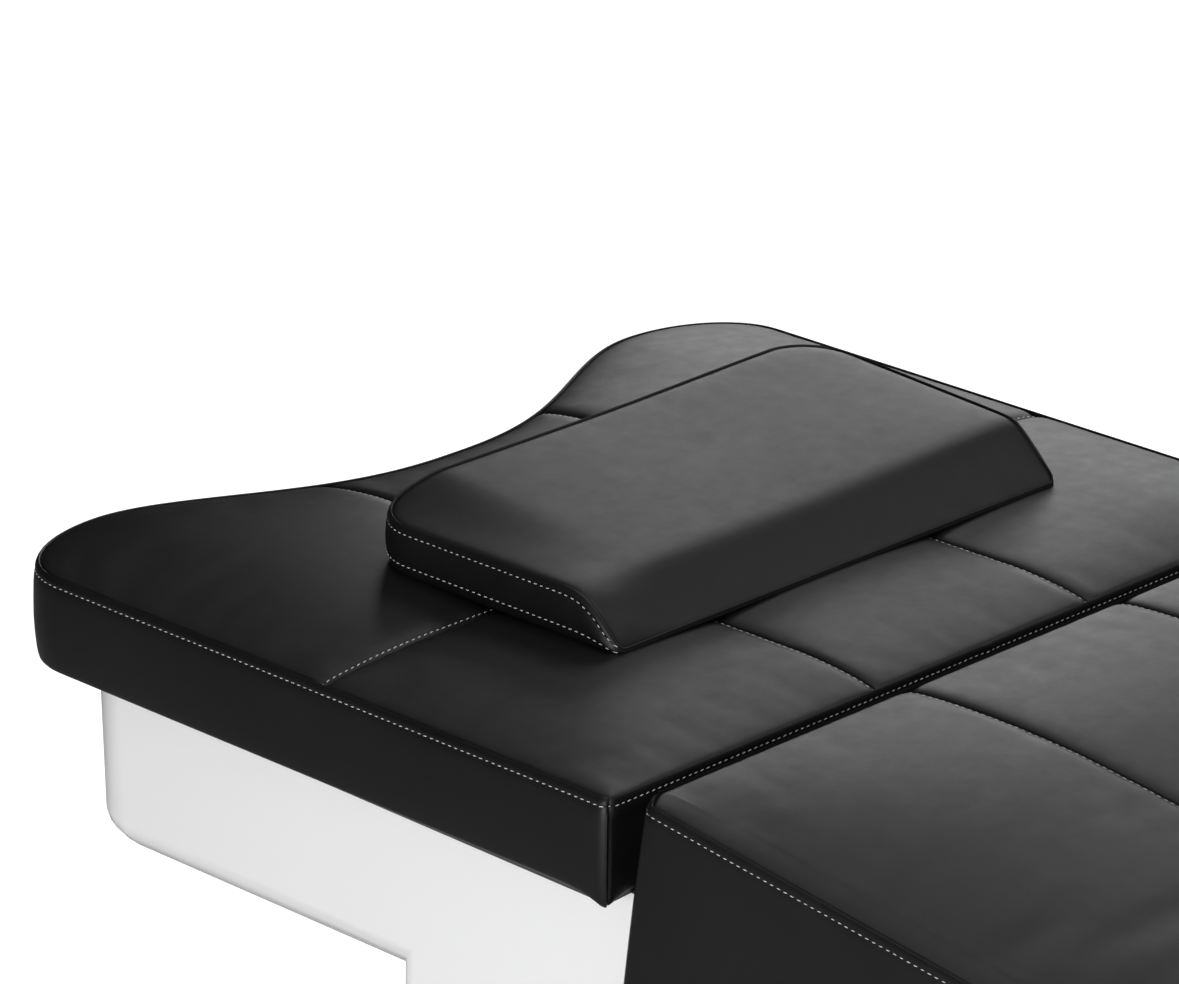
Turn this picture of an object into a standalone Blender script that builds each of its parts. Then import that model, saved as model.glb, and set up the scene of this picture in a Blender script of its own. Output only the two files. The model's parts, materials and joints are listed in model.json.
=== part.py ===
# Electric head spa bed: lifting base, head section, sloping body section, leg section and a loose pillow.
# Metres. +Z is up, +Y runs to the head end, X is across. The floor is z = 0.

import math

import bmesh
import bpy
from mathutils import Vector

# Driving dimensions of the whole bed
bed_width = 0.780
head_length = 0.625
body_length = 0.740
leg_length = 0.600
seam_height = 0.680
body_slope_deg = 7.3
touch_gap = 0.0003
overrun = 0.02

# Upholstery
cushion_thickness = 0.076
head_crown = 0.008
body_crown = 0.019
head_crown_run = 0.070
body_crown_run = 0.110
body_crown_end_run = 0.170
seam_spacing = 0.234
head_cross_seam = 0.277
seam_dip = 0.0035
seam_half_width = 0.010
side_draw_in = 0.004
edge_radius = 0.008
scallop_depth = 0.089
lobe_tip_x = 0.290
lobe_corner_run = 0.070
head_corner_radius = 0.008
body_corner_radius = 0.018
side_panel_depth = 0.134
side_panel_thickness = 0.022
board_thickness = 0.015
board_inset = 0.012
board_wall_gap = 0.006

# Pillow
pillow_width = 0.480
pillow_depth = 0.254
pillow_front_y = 0.150
pillow_offset_x = 0.017
pillow_height = 0.042
pillow_crown = 0.013
pillow_back_radius = 0.035

# Hinge shaft in the gap between the head and body sections
shaft_back = 0.012
shaft_drop = 0.036
shaft_radius = 0.006
shaft_overhang = 0.028
body_edge_back = 0.012
body_edge_rise = 0.0465
running_clearance = 0.0003
bush_wall = 0.0012
bush_flange = 0.0012
bush_flange_radius = 0.0085
body_ear_step = 0.016
head_ear_step = 0.010

# Leg hinge under the foot end of the body section
leg_axis_back = 0.015
leg_axis_drop = 0.092
leg_edge_back = 0.024
leg_pin_radius = 0.006
leg_lug_step = 0.016

# Steel frames
tube_size = 0.030
rail_height = 0.040
lift_rail_inset = 0.100
head_rail_step = 0.040
body_rail_step = 0.055
leg_rail_step = 0.055
ear_thickness = 0.006
ear_half_width = 0.0085
post_plate_thickness = 0.008
arm_top = 0.114
arm_reach = 0.470
ladder_top = 0.264
rail_inset = 0.033

# Lifting base
shell_half_width = 0.360
shell_wall = 0.004
shell_inset = 0.030
shell_top = 0.046
shell_bottom = 0.180
shell_step = 0.013
shell_fall = 0.250
pedestal_head_y = 0.248
pedestal_foot_y = -0.650
pedestal_ground_gap = 0.060
pedestal_corner_radius = 0.020
plinth_clearance = 0.010
plinth_foot_y = -0.960
plinth_bottom = 0.008
plinth_tray_top = 0.0545
plinth_riser_top = 0.300
column_ys = {"head": 0.090, "foot": -0.500}
column_width = 0.150
column_depth = 0.100
column_wall = 0.004
column_slide_gap = 0.0005
column_outer_top = 0.275
column_stage_step = 0.015
base_rail_bottom = 0.020
foot_pad_radius = 0.025
foot_pad_rim_low = 0.003
foot_pad_rim_high = 0.007
foot_pad_neck_low = 0.011
foot_notch_depth = 0.140

# Drives and control box inside the base
lift_motor_radius = 0.030
lift_motor_height = 0.130
lift_shoulder_height = 0.010
lift_flange_radius = 0.044
lift_flange_height = 0.006
control_width = 0.200
control_depth = 0.130
control_height = 0.052
control_bevel = 0.006
control_tray_depth = 0.100
control_tray_thickness = 0.004

# Power inlet at the foot end of the plinth
inlet_half_width = 0.014
inlet_top_drop = 0.012
inlet_height = 0.022
inlet_flange = 0.0025
inlet_rim = 0.005
inlet_depth = 0.018
inlet_socket_depth = 0.012
inlet_wall = 0.002

# Linear actuators
actuator_lane = 0.120
actuator_tube_radius = 0.020
actuator_rod_radius = 0.009
actuator_pin_radius = 0.005
actuator_eye_radius = 0.012
actuator_motor_length = 0.110
actuator_tube_fronts = {"head": 0.300, "tilt": 0.340, "leg": 0.360}
actuator_rod_starts = {"head": 0.120, "tilt": 0.200, "leg": 0.200}
clevis_ear = 0.005
clevis_play = 0.0005
lever_thickness = 0.008
lever_slot_room = 0.014
lever_slot_travel = {"head": 0.006, "tilt": 0.0015, "leg": 0.009}
lever_slot_play = {"head": 0.0008, "tilt": 0.0006, "leg": 0.0018}
head_lever_length = 0.120
head_lever_angle_deg = -17.5
tilt_lever_length = 0.139
tilt_lever_angle_deg = 1.15
leg_lever_length = 0.065
leg_lever_angle_deg = -20.0
head_actuator_base = (-0.450, -0.236)
tilt_actuator_base = (0.415, -0.134)
leg_actuator_base = (-0.260, -0.100)

# Worked-out places
half_width = bed_width / 2
body_slope = math.radians(body_slope_deg)
slope_cos = math.cos(body_slope)
slope_sin = math.sin(body_slope)
leg_axis_local = (-(body_edge_back + body_length + leg_axis_back), body_edge_rise - leg_axis_drop)
leg_axis_level = (leg_axis_local[0] * slope_cos - leg_axis_local[1] * slope_sin,
                  leg_axis_local[0] * slope_sin + leg_axis_local[1] * slope_cos)
head_reach = shaft_back + head_length
foot_reach = -leg_axis_level[0] + leg_edge_back + leg_length
shaft_y = (foot_reach - head_reach) / 2
shaft_z = seam_height - shaft_drop
bush_bore = shaft_radius + 2 * running_clearance + bush_wall
clevis_half_gap = actuator_eye_radius + clevis_play

# The side rails, ears and hinge shaft keep their places beside the shell's walls
lift_rail_x = shell_half_width - lift_rail_inset
head_rail_x = lift_rail_x + head_rail_step
body_rail_x = lift_rail_x - body_rail_step
leg_rail_x = lift_rail_x - leg_rail_step
head_ear_x = lift_rail_x + head_ear_step
body_ear_x = lift_rail_x - body_ear_step
leg_lug_x = lift_rail_x - leg_lug_step
shaft_end_x = lift_rail_x + shaft_overhang
leg_ear_x = leg_lug_x + ear_thickness + 2 * bush_flange


def clear_scene():
    for item in list(bpy.data.objects):
        bpy.data.objects.remove(item, do_unlink=True)


def material(name, colour, roughness, metallic=0.0):
    made = bpy.data.materials.new(name)
    made.use_nodes = True
    shader = made.node_tree.nodes["Principled BSDF"]
    shader.inputs["Base Color"].default_value = (*colour, 1.0)
    shader.inputs["Roughness"].default_value = roughness
    shader.inputs["Metallic"].default_value = metallic
    return made


finishes = {
    "leatherette": ((0.030, 0.030, 0.031), 0.45, 0.0),
    "shell": ((0.86, 0.86, 0.86), 0.12, 0.0),
    "steel": ((0.06, 0.06, 0.065), 0.40, 0.6),
    "zinc": ((0.62, 0.63, 0.65), 0.30, 1.0),
    "plywood": ((0.55, 0.40, 0.24), 0.70, 0.0),
    "rubber": ((0.02, 0.02, 0.02), 0.80, 0.0),
    "nylon": ((0.80, 0.79, 0.75), 0.45, 0.0),
    "housing": ((0.10, 0.10, 0.11), 0.55, 0.0),
    "column": ((0.70, 0.71, 0.73), 0.28, 1.0),
}


def empty(name, place, parent=None, turn=0.0):
    made = bpy.data.objects.new(name, None)
    made.location = place
    made.rotation_euler = (turn, 0, 0)
    made.parent = parent
    bpy.context.collection.objects.link(made)
    return made


def mesh_object(name, bm, parent=None, finish="steel", smooth=None):
    bmesh.ops.recalc_face_normals(bm, faces=bm.faces)
    mesh = bpy.data.meshes.new(name)
    bm.to_mesh(mesh)
    bm.free()
    made = bpy.data.objects.new(name, mesh)
    made.parent = parent
    mesh.materials.append(material(name + "_finish", *finishes[finish]))
    bpy.context.collection.objects.link(made)
    if smooth is not None:
        mesh.shade_smooth()
        mesh.set_sharp_from_angle(angle=math.radians(smooth))
    return made


def combine(target, tool, operation):
    tool.parent = target.parent
    cut = target.modifiers.new("combine", "BOOLEAN")
    cut.operation = operation
    cut.solver = "EXACT"
    cut.object = tool
    bpy.context.view_layer.update()
    graph = bpy.context.evaluated_depsgraph_get()
    result = bpy.data.meshes.new_from_object(target.evaluated_get(graph))
    target.modifiers.remove(cut)
    old = target.data
    target.data = result
    bpy.data.meshes.remove(old)
    bpy.data.objects.remove(tool, do_unlink=True)
    return target


def box(bm, x, y, z, bevel=0.0):
    """Add a block given by its (low, high) spans, with its long edges rounded if asked."""
    made = bmesh.ops.create_cube(bm, size=1.0)["verts"]
    for vert in made:
        vert.co.x = x[0] if vert.co.x < 0 else x[1]
        vert.co.y = y[0] if vert.co.y < 0 else y[1]
        vert.co.z = z[0] if vert.co.z < 0 else z[1]
    if bevel:
        spans = (x[1] - x[0], y[1] - y[0], z[1] - z[0])
        long_way = spans.index(max(spans))
        edges = [edge for edge in {e for v in made for e in v.link_edges}
                 if abs(edge.verts[0].co[long_way] - edge.verts[1].co[long_way]) > spans[long_way] / 2]
        bmesh.ops.bevel(bm, geom=edges, offset=bevel, segments=1, affect="EDGES")


def prism(bm, outline, x):
    """Add a plate: a (y, z) outline extruded between two x places."""
    loops = [[bm.verts.new((place, y, z)) for y, z in outline] for place in x]
    count = len(outline)
    bm.faces.new(loops[0])
    bm.faces.new(loops[1][::-1])
    for index in range(count):
        after = (index + 1) % count
        bm.faces.new((loops[0][after], loops[0][index], loops[1][index], loops[1][after]))


def loft(bm, loops, cap=True):
    """Join closed rings of points, lowest first, and close both ends."""
    rings = [[bm.verts.new(point) for point in loop] for loop in loops]
    count = len(rings[0])
    for low, high in zip(rings, rings[1:]):
        for index in range(count):
            after = (index + 1) % count
            bm.faces.new((low[index], low[after], high[after], high[index]))
    if cap:
        bm.faces.new(rings[0][::-1])
        bm.faces.new(rings[-1])


def rod(bm, start, end, radius, sides=16):
    """Add a round bar between two points."""
    start, end = Vector(start), Vector(end)
    way = (end - start).normalized()
    across = way.orthogonal().normalized()
    other = way.cross(across)
    loops = []
    for place in (start, end):
        ring = [place + radius * (math.cos(math.tau * i / sides) * across + math.sin(math.tau * i / sides) * other)
                for i in range(sides)]
        loops.append(ring)
    loft(bm, loops)


def both_sides(action):
    for side in (-1, 1):
        action(side)


def span(centre, size):
    return (centre - size / 2, centre + size / 2)


def side_span(side, inner, outer):
    return (inner, outer) if side > 0 else (-outer, -inner)


def tool(name, build):
    bm = bmesh.new()
    build(bm)
    return mesh_object(name, bm)


# Outlines in plan

def head_end(x):
    """How far the scalloped head edge lies from the gap edge, at a place across the bed."""
    across = abs(x)
    hollow = head_length - scallop_depth
    if across <= lobe_tip_x:
        share = (across / lobe_tip_x) ** 1.3
        return hollow + scallop_depth * share * share * (3 - 2 * share)
    run = min((across - lobe_tip_x) / (half_width - lobe_tip_x), 1.0)
    return head_length - lobe_corner_run * (1 - math.sqrt(1 - run * run))


def corner_rise(x, width, radius):
    """How far a rounded plan corner stands back from a straight edge."""
    inside = abs(x) - (width - radius)
    if inside <= 0:
        return 0.0
    return radius - math.sqrt(max(radius * radius - inside * inside, 0.0))


def offset_ring(points, distance):
    """Move a closed ring of (x, y) points inwards; the ring runs anticlockwise."""
    moved = []
    count = len(points)
    for index in range(count):
        before = Vector(points[index - 1])
        here = Vector(points[index])
        after = Vector(points[(index + 1) % count])
        one = (here - before).normalized()
        two = (after - here).normalized()
        inward_one = Vector((-one.y, one.x))
        inward_two = Vector((-two.y, two.x))
        mean = (inward_one + inward_two).normalized()
        moved.append(here + mean * distance / max(mean.dot(inward_one), 0.5))
    return moved


# Cushions

def mirrored(places):
    return sorted({-place for place in places} | set(places))


def column_places(crown_run):
    seam = seam_spacing / 2
    near_edge_shares = (0.0, 0.1, 0.35, 0.8)
    places = [half_width - share * crown_run for share in near_edge_shares]
    places += [lobe_tip_x, (lobe_tip_x + seam) / 2, seam + seam_half_width, seam, seam - seam_half_width, seam / 2, 0.0]
    return mirrored(places)


def row_places(length, cross_seam, crown_run):
    near_edge_shares = (0.0, 0.1, 0.35, 0.8)
    places = [share * crown_run for share in near_edge_shares]
    if cross_seam:
        places += [cross_seam - seam_half_width, cross_seam, cross_seam + seam_half_width]
        places += [(crown_run + cross_seam) / 2, head_length - scallop_depth - crown_run * 2]
    else:
        places += [length * share for share in (0.25, 0.5, 0.75)]
        places += [length - share * crown_run for share in near_edge_shares]
    return sorted(places)


def cushion(name, parent, corner, length, crown, crown_runs, corner_radius, scalloped=False):
    """A crowned cushion. Its top seam lies at the corner's height and it runs from the corner towards +Y."""
    side_run, end_run = crown_runs
    columns = column_places(side_run)
    rows = row_places(length, head_cross_seam if scalloped else 0.0, end_run)
    end_shares = (0.3, 0.6, 0.85, 0.96, 1.0) if scalloped else ()

    def far_edge(x):
        if scalloped:
            return head_end(x)
        return length - corner_rise(x, half_width, corner_radius)

    def place(x, index):
        near = corner_rise(x, half_width, corner_radius)
        far = far_edge(x)
        if index < len(rows):
            low, high = rows[0], rows[-1]
            if scalloped:
                return near + (rows[index] - low) * (high - near) / (high - low)
            return near + (rows[index] - low) * (far - near) / (high - low)
        return rows[-1] + (far - rows[-1]) * end_shares[index - len(rows)]

    def top(x, y):
        side = half_width - abs(x)
        end = min(y - corner_rise(x, half_width, corner_radius), far_edge(x) - y)
        share = min(max(min(side / side_run, end / end_run), 0.0), 1.0)
        height = crown * (1 - (1 - share) ** 2)
        seams = [abs(abs(x) - seam_spacing / 2)]
        if scalloped:
            seams.append(abs(y - head_cross_seam))
        dip = seam_dip * max(0.0, 1 - min(seams) / seam_half_width)
        return height - dip * share

    bm = bmesh.new()
    count = len(rows) + len(end_shares)
    grid = []
    for x in columns:
        line = []
        for index in range(count):
            y = place(x, index)
            line.append(bm.verts.new((x, corner[0] + y, corner[1] + top(x, y))))
        grid.append(line)
    for i in range(len(columns) - 1):
        for j in range(count - 1):
            bm.faces.new((grid[i][j], grid[i + 1][j], grid[i + 1][j + 1], grid[i][j + 1]))

    rim = [grid[i][0] for i in range(len(columns))]
    rim += [grid[-1][j] for j in range(1, count)]
    rim += [grid[i][-1] for i in range(len(columns) - 2, -1, -1)]
    rim += [grid[0][j] for j in range(count - 2, 0, -1)]
    outline = [(vert.co.x, vert.co.y) for vert in rim]
    side_shares = ((0.12, 0.1), (0.3, 0.8), (0.6, 1.0), (0.85, 0.45))
    levels = [(share * cushion_thickness, draw * side_draw_in) for share, draw in side_shares]
    levels += [(cushion_thickness - edge_radius / 3, edge_radius / 3), (cushion_thickness, edge_radius)]
    above = rim
    for drop, inset in levels:
        ring = [bm.verts.new((*point, corner[1] - drop)) for point in offset_ring(outline, inset)]
        for index in range(len(ring)):
            after = (index + 1) % len(ring)
            bm.faces.new((above[after], above[index], ring[index], ring[after]))
        above = ring
    bm.faces.new(above[::-1])
    return mesh_object(name, bm, parent, "leatherette", smooth=40)


def head_board_outline():
    """The plywood outline under the head cushion, anticlockwise, inside the shell's walls."""
    plan = shell_plan(shell_wall + board_wall_gap)
    near = shaft_back + board_inset
    return [(plan[0][0], near), (plan[1][0], near)] + plan[2:]


def flat_board(name, parent, outline, top, finish):
    bm = bmesh.new()
    loft(bm, [[(x, y, top - board_thickness) for x, y in outline], [(x, y, top) for x, y in outline]])
    return mesh_object(name, bm, parent, finish)


# Frames

def ladder(name, parent, rail_x, ends, crossbar_ys, top, height=tube_size, cross_half=None):
    """Two rails and their crossbars, welded into one frame."""
    def rails(bm):
        both_sides(lambda side: box(bm, span(side * rail_x, tube_size), ends, (top - height, top), tube_size / 10))

    def bars(bm):
        for y in crossbar_ys:
            reach = cross_half.get(y, rail_x) if cross_half else rail_x
            box(bm, (-reach, reach), span(y, tube_size), (top - height + touch_gap, top - touch_gap), tube_size / 10)

    frame = tool(name, rails)
    frame.parent = parent
    combine(frame, tool(name + "_bars", bars), "UNION")
    return frame


def ear_outline(foot_y, top, bottom):
    """An L-shaped hinge ear from a frame's first crossbar up to the shaft at (0, 0)."""
    way = 1 if foot_y > 0 else -1
    turn = [(ear_half_width * math.cos(math.pi * i / 8), ear_half_width * math.sin(math.pi * i / 8))
            for i in range(9)]
    if way > 0:
        return [(-ear_half_width, bottom), (foot_y, bottom), (foot_y, top), (ear_half_width, top)] + turn
    return turn + [(-1.5 * ear_half_width, top), (foot_y, top), (foot_y, bottom), (-ear_half_width, bottom)]


def lever_tip(length, angle_deg):
    angle = math.radians(angle_deg)
    return (length * math.sin(angle), -length * math.cos(angle))


def hull(points):
    """The convex outline round a set of (y, z) points, anticlockwise."""
    points = sorted(set(points))
    chains = []
    for run in (points, points[::-1]):
        chain = []
        for point in run:
            while len(chain) > 1:
                (ay, az), (by, bz) = chain[-2], chain[-1]
                if (by - ay) * (point[1] - az) - (bz - az) * (point[0] - ay) > 0:
                    break
                chain.pop()
            chain.append(point)
        chains.append(chain[:-1])
    return chains[0] + chains[1]


def lever_outline(tip, root, root_height, travel=0.0):
    """A flat crank lever: round at its slotted tip, running back to its root on a crossbar."""
    tip = Vector(tip)
    root = Vector(root)
    way = (root - tip).normalized()
    across = Vector((-way.y, way.x)) * root_height / 2
    points = [tuple(root - across), tuple(root + across)]
    steps = 16
    for end in (-1, 1):
        centre = tip + tip.normalized() * travel * end
        for index in range(steps):
            turn = math.tau * index / steps
            points.append((centre.x + math.cos(turn) * actuator_eye_radius,
                           centre.y + math.sin(turn) * actuator_eye_radius))
    return hull(points)


def slot_cut(bm, tip, radius, travel, x):
    """A slot along a lever that points from the axis at (0, 0) to its tip."""
    way = Vector(tip).normalized()
    across = Vector((-way.y, way.x))
    steps = 8
    points = []
    for end in (-1, 1):
        centre = Vector(tip) + way * end * travel
        for index in range(steps + 1):
            turn = math.pi * index / steps
            around = across * math.cos(turn) * -end + way * math.sin(turn) * end
            points.append(tuple(centre + around * radius))
    prism(bm, points, x)


def union_plates(frame, name, plates):
    """Weld plates, each an outline with its x span, to a frame."""
    def build(bm):
        for outline, x in plates:
            prism(bm, outline, x)
    return combine(frame, tool(name, build), "UNION")


def drill(frame, name, bores):
    """Cut round bores across the bed: (y, z, radius, x span) each."""
    def build(bm):
        for y, z, radius, x in bores:
            rod(bm, (x[0], y, z), (x[1], y, z), radius)
    return combine(frame, tool(name, build), "DIFFERENCE")


def bush(name, parent, side, inner_x, ear_width, place, pin_radius):
    """A flanged nylon bush in a hinge ear."""
    outer = pin_radius + running_clearance + bush_wall
    flange_in = inner_x - bush_flange
    bm = bmesh.new()
    rod(bm, (side * flange_in, *place), (side * inner_x, *place), bush_flange_radius)
    body = mesh_object(name, bm, parent, "nylon", smooth=30)

    def sleeve(b):
        rod(b, (side * (inner_x - bush_flange / 2), *place), (side * (inner_x + ear_width), *place), outer)
    combine(body, tool(name + "_sleeve", sleeve), "UNION")
    reach = (side * (flange_in - overrun), side * (inner_x + ear_width + overrun))
    return drill(body, name + "_bore", [(*place, pin_radius + running_clearance, reach)])


def clevis_plates(lane, place, reach_to):
    """Two ears round an actuator's rear eye, running back to the bar that carries them."""
    plates = []
    for side in (-1, 1):
        near = lane + side * clevis_half_gap
        far = near + side * clevis_ear
        plates.append((lever_outline(place, reach_to, 2.6 * actuator_eye_radius), (min(near, far), max(near, far))))
    return plates


# Lifting columns and the fixed base

def hollow_column(name, parent, y, width, depth, bottom, top, flange_top=False):
    bm = bmesh.new()
    box(bm, span(0, width), span(y, depth), (bottom, top), column_wall)
    column = mesh_object(name, bm, parent, "column")
    if flange_top:
        def plate(b):
            box(b, span(0, column_width + tube_size), span(y, column_depth + tube_size), (top - 2 * column_wall, top))
        combine(column, tool(name + "_flange", plate), "UNION")

    def inside(b):
        high = top - 2 * column_wall if flange_top else top + overrun
        box(b, span(0, width - 2 * column_wall), span(y, depth - 2 * column_wall), (bottom - overrun, high),
            column_wall / 2)
    return combine(column, tool(name + "_inside", inside), "DIFFERENCE")


def build_base(base):
    rail_top = base_rail_bottom + tube_size
    ends = (plinth_foot_y + rail_inset, pedestal_head_y - rail_inset)
    bars = [ends[0] + tube_size, column_ys["foot"] - column_depth / 2, column_ys["foot"] + column_depth / 2,
            column_ys["head"] - column_depth / 2, column_ys["head"] + column_depth / 2]
    ladder("base_frame", base, lift_rail_x, ends, bars, rail_top)

    for end, y in (("head", ends[1] - tube_size), ("foot", ends[0] + tube_size)):
        for side, word in ((-1, "left"), (1, "right")):
            bm = bmesh.new()
            pad_top = base_rail_bottom - touch_gap
            profile = ((foot_pad_radius * 0.9, 0.0), (foot_pad_radius, foot_pad_rim_low),
                       (foot_pad_radius, foot_pad_rim_high), (foot_pad_radius * 0.45, foot_pad_neck_low),
                       (foot_pad_radius * 0.45, pad_top))
            sides = 16
            loops = [[(side * lift_rail_x + radius * math.cos(math.tau * i / sides),
                       y + radius * math.sin(math.tau * i / sides), z) for i in range(sides)]
                     for radius, z in profile]
            loft(bm, loops)
            mesh_object("levelling_foot_%s_%s" % (end, word), bm, base, "rubber", smooth=30)

    plinth(base)

    for end, y in column_ys.items():
        hollow_column("column_outer_" + end, base, y, column_width, column_depth, rail_top + touch_gap,
                      column_outer_top)
        lift_drive("lift_drive_" + end, base, y, rail_top + touch_gap)

    bm = bmesh.new()
    middle = (column_ys["head"] + column_ys["foot"]) / 2
    box(bm, span(0, control_width), span(middle, control_depth), (rail_top + touch_gap, rail_top + control_height),
        control_bevel)
    control = mesh_object("control_box", bm, base, "housing")

    def tray(b):
        box(b, span(0, 2 * lift_rail_x), span(middle, control_tray_depth),
            (rail_top + touch_gap, rail_top + control_tray_thickness))
    combine(control, tool("control_tray", tray), "UNION")


def lift_drive(name, parent, y, bottom):
    """Gear motor and spindle that stand inside a lifting column."""
    flange_top = bottom + lift_flange_height
    motor_top = bottom + lift_motor_height
    shoulder_top = motor_top + lift_shoulder_height
    spindle_top = column_outer_top - column_stage_step
    profile = ((lift_flange_radius, bottom), (lift_flange_radius, flange_top), (lift_motor_radius, flange_top),
               (lift_motor_radius, motor_top), (lift_motor_radius * 0.5, shoulder_top),
               (lift_motor_radius * 0.3, shoulder_top), (lift_motor_radius * 0.3, spindle_top))
    sides = 16
    bm = bmesh.new()
    loft(bm, [[(radius * math.cos(math.tau * i / sides), y + radius * math.sin(math.tau * i / sides), z)
               for i in range(sides)] for radius, z in profile])
    mesh_object(name, bm, parent, "housing", smooth=30)


def rounded_rectangle(half_x, low_y, high_y, radius, steps=4):
    """An anticlockwise plan outline with rounded corners."""
    points = []
    centres = ((half_x - radius, high_y - radius, 0), (-half_x + radius, high_y - radius, 1),
               (-half_x + radius, low_y + radius, 2), (half_x - radius, low_y + radius, 3))
    for x, y, quarter in centres:
        for index in range(steps + 1):
            turn = math.pi / 2 * (quarter + index / steps)
            points.append((x + radius * math.cos(turn), y + radius * math.sin(turn)))
    return points


def extruded(name, outline, low, high):
    bm = bmesh.new()
    loft(bm, [[(x, y, low) for x, y in outline], [(x, y, high) for x, y in outline]])
    return mesh_object(name, bm)


def plinth(base):
    """The low floor cover and its riser, which the pedestal slides down over."""
    half = shell_half_width - shell_wall - plinth_clearance
    head_y = pedestal_head_y - shell_wall - plinth_clearance
    riser_foot = pedestal_foot_y + shell_wall + plinth_clearance
    radius = pedestal_corner_radius - shell_wall

    def outline(low, inset):
        return rounded_rectangle(half - inset, low + inset, head_y - inset, radius - inset)

    cover = extruded("plinth_cover", outline(plinth_foot_y, 0.0), plinth_bottom, plinth_tray_top)
    cover.parent = base
    cover.data.materials[0] = material("plinth_finish", *finishes["shell"])
    combine(cover, extruded("riser", outline(riser_foot, 0.0), plinth_bottom, plinth_riser_top), "UNION")
    wall = shell_wall
    combine(cover, extruded("tray_inside", outline(plinth_foot_y, wall), plinth_bottom - overrun,
                            plinth_tray_top - wall), "DIFFERENCE")
    combine(cover, extruded("riser_inside", outline(riser_foot, wall), plinth_tray_top - 2 * wall,
                            plinth_riser_top + overrun), "DIFFERENCE")

    inlet_high = plinth_tray_top - inlet_top_drop
    inlet_low = inlet_high - inlet_height
    hole = touch_gap

    def opening(b):
        box(b, span(0, 2 * (inlet_half_width + hole)), span(plinth_foot_y, 2 * overrun),
            (inlet_low - hole, inlet_high + hole))
    combine(cover, tool("inlet_hole", opening), "DIFFERENCE")

    bm = bmesh.new()
    flange_back = plinth_foot_y - touch_gap
    box(bm, span(0, 2 * (inlet_half_width + inlet_rim)), (flange_back - inlet_flange, flange_back),
        (inlet_low - inlet_rim, inlet_high + inlet_rim))
    inlet = mesh_object("power_inlet", bm, base, "housing")

    def barrel(b):
        box(b, span(0, 2 * inlet_half_width), (plinth_foot_y - inlet_flange, plinth_foot_y + inlet_depth),
            (inlet_low, inlet_high))

    def socket(b):
        box(b, span(0, 2 * (inlet_half_width - inlet_wall)),
            (plinth_foot_y - overrun, plinth_foot_y + inlet_socket_depth),
            (inlet_low + inlet_wall, inlet_high - inlet_wall))
    combine(inlet, tool("inlet_barrel", barrel), "UNION")
    combine(inlet, tool("inlet_socket", socket), "DIFFERENCE")


# Carriage: what the columns lift

def shell_plan(inset):
    """Plan of the white shell: straight sides and a head end that follows the cushion's scallop."""
    half = shell_half_width - inset
    near = -shaft_back
    steps = 28
    points = [(-half, near), (half, near)]
    for index in range(steps + 1):
        turn = math.pi / 2 * (2 * index / steps - 1)
        x = -half * math.sin(turn)
        stretched = x * half_width / half
        points.append((x, shaft_back + head_end(stretched) - shell_inset - inset))
    return points


def shell_tub(name, inset, top, bottom):
    """The part of the shell that reaches out under the head cushion."""
    lean_from = pedestal_head_y + shell_inset
    shares = ((0.0, 1.10, 0.40), (0.03, 0.50, 0.18), (0.09, 0.22, 0.05), (0.16, 0.14, 0.0), (1.0, 0.0, 0.0))
    depth = shell_bottom - shell_top
    corner = pedestal_corner_radius * 2
    loops = []
    plan = shell_plan(inset)
    reach = max(y for _, y in plan) - lean_from
    for height, pull, draw in shares:
        loop = []
        for x, y in plan:
            share = min(max((y - lean_from) / reach, 0.0), 1.0)
            loop.append((x * (1 - draw * corner / shell_half_width), y - pull * corner * share * share,
                         top if height == 1.0 else bottom + height * depth))
        loops.append(loop)
    bm = bmesh.new()
    loft(bm, loops)
    return mesh_object(name, bm)


def build_shell(carriage):
    ground = pedestal_ground_gap - shaft_z

    def pedestal(name, inset, low, high):
        outline = rounded_rectangle(shell_half_width - inset, pedestal_foot_y + inset, pedestal_head_y - inset,
                                    pedestal_corner_radius - inset)
        return extruded(name, outline, low, high)

    shell = shell_tub("upper_shell", 0.0, -shell_top, -shell_bottom)
    shell.parent = carriage
    shell.data.materials[0] = material("shell_finish", *finishes["shell"])
    combine(shell, pedestal("pedestal", 0.0, ground, -shell_top), "UNION")
    inner = shell_tub("tub_inside", shell_wall, -shell_top + overrun, -shell_bottom + shell_wall)
    combine(inner, pedestal("pedestal_inside", shell_wall, ground - overrun, -shell_top + overrun), "UNION")
    combine(shell, inner, "DIFFERENCE")

    foot = pedestal_foot_y - overrun
    high = overrun
    drop = shell_top + shell_step
    slope = [(0.0, high), (foot, high), (foot, -drop + shell_fall * foot), (0.0, -drop)]

    def wedge(b):
        prism(b, slope, (-shell_half_width - overrun, shell_half_width + overrun))

    def notch(b):
        lane = actuator_eye_radius * 4
        box(b, (-lane, lane), (pedestal_foot_y - overrun, pedestal_foot_y + overrun),
            (-shell_bottom - foot_notch_depth, high))
    combine(shell, tool("slope_cut", wedge), "DIFFERENCE")
    combine(shell, tool("foot_notch", notch), "DIFFERENCE")


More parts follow.
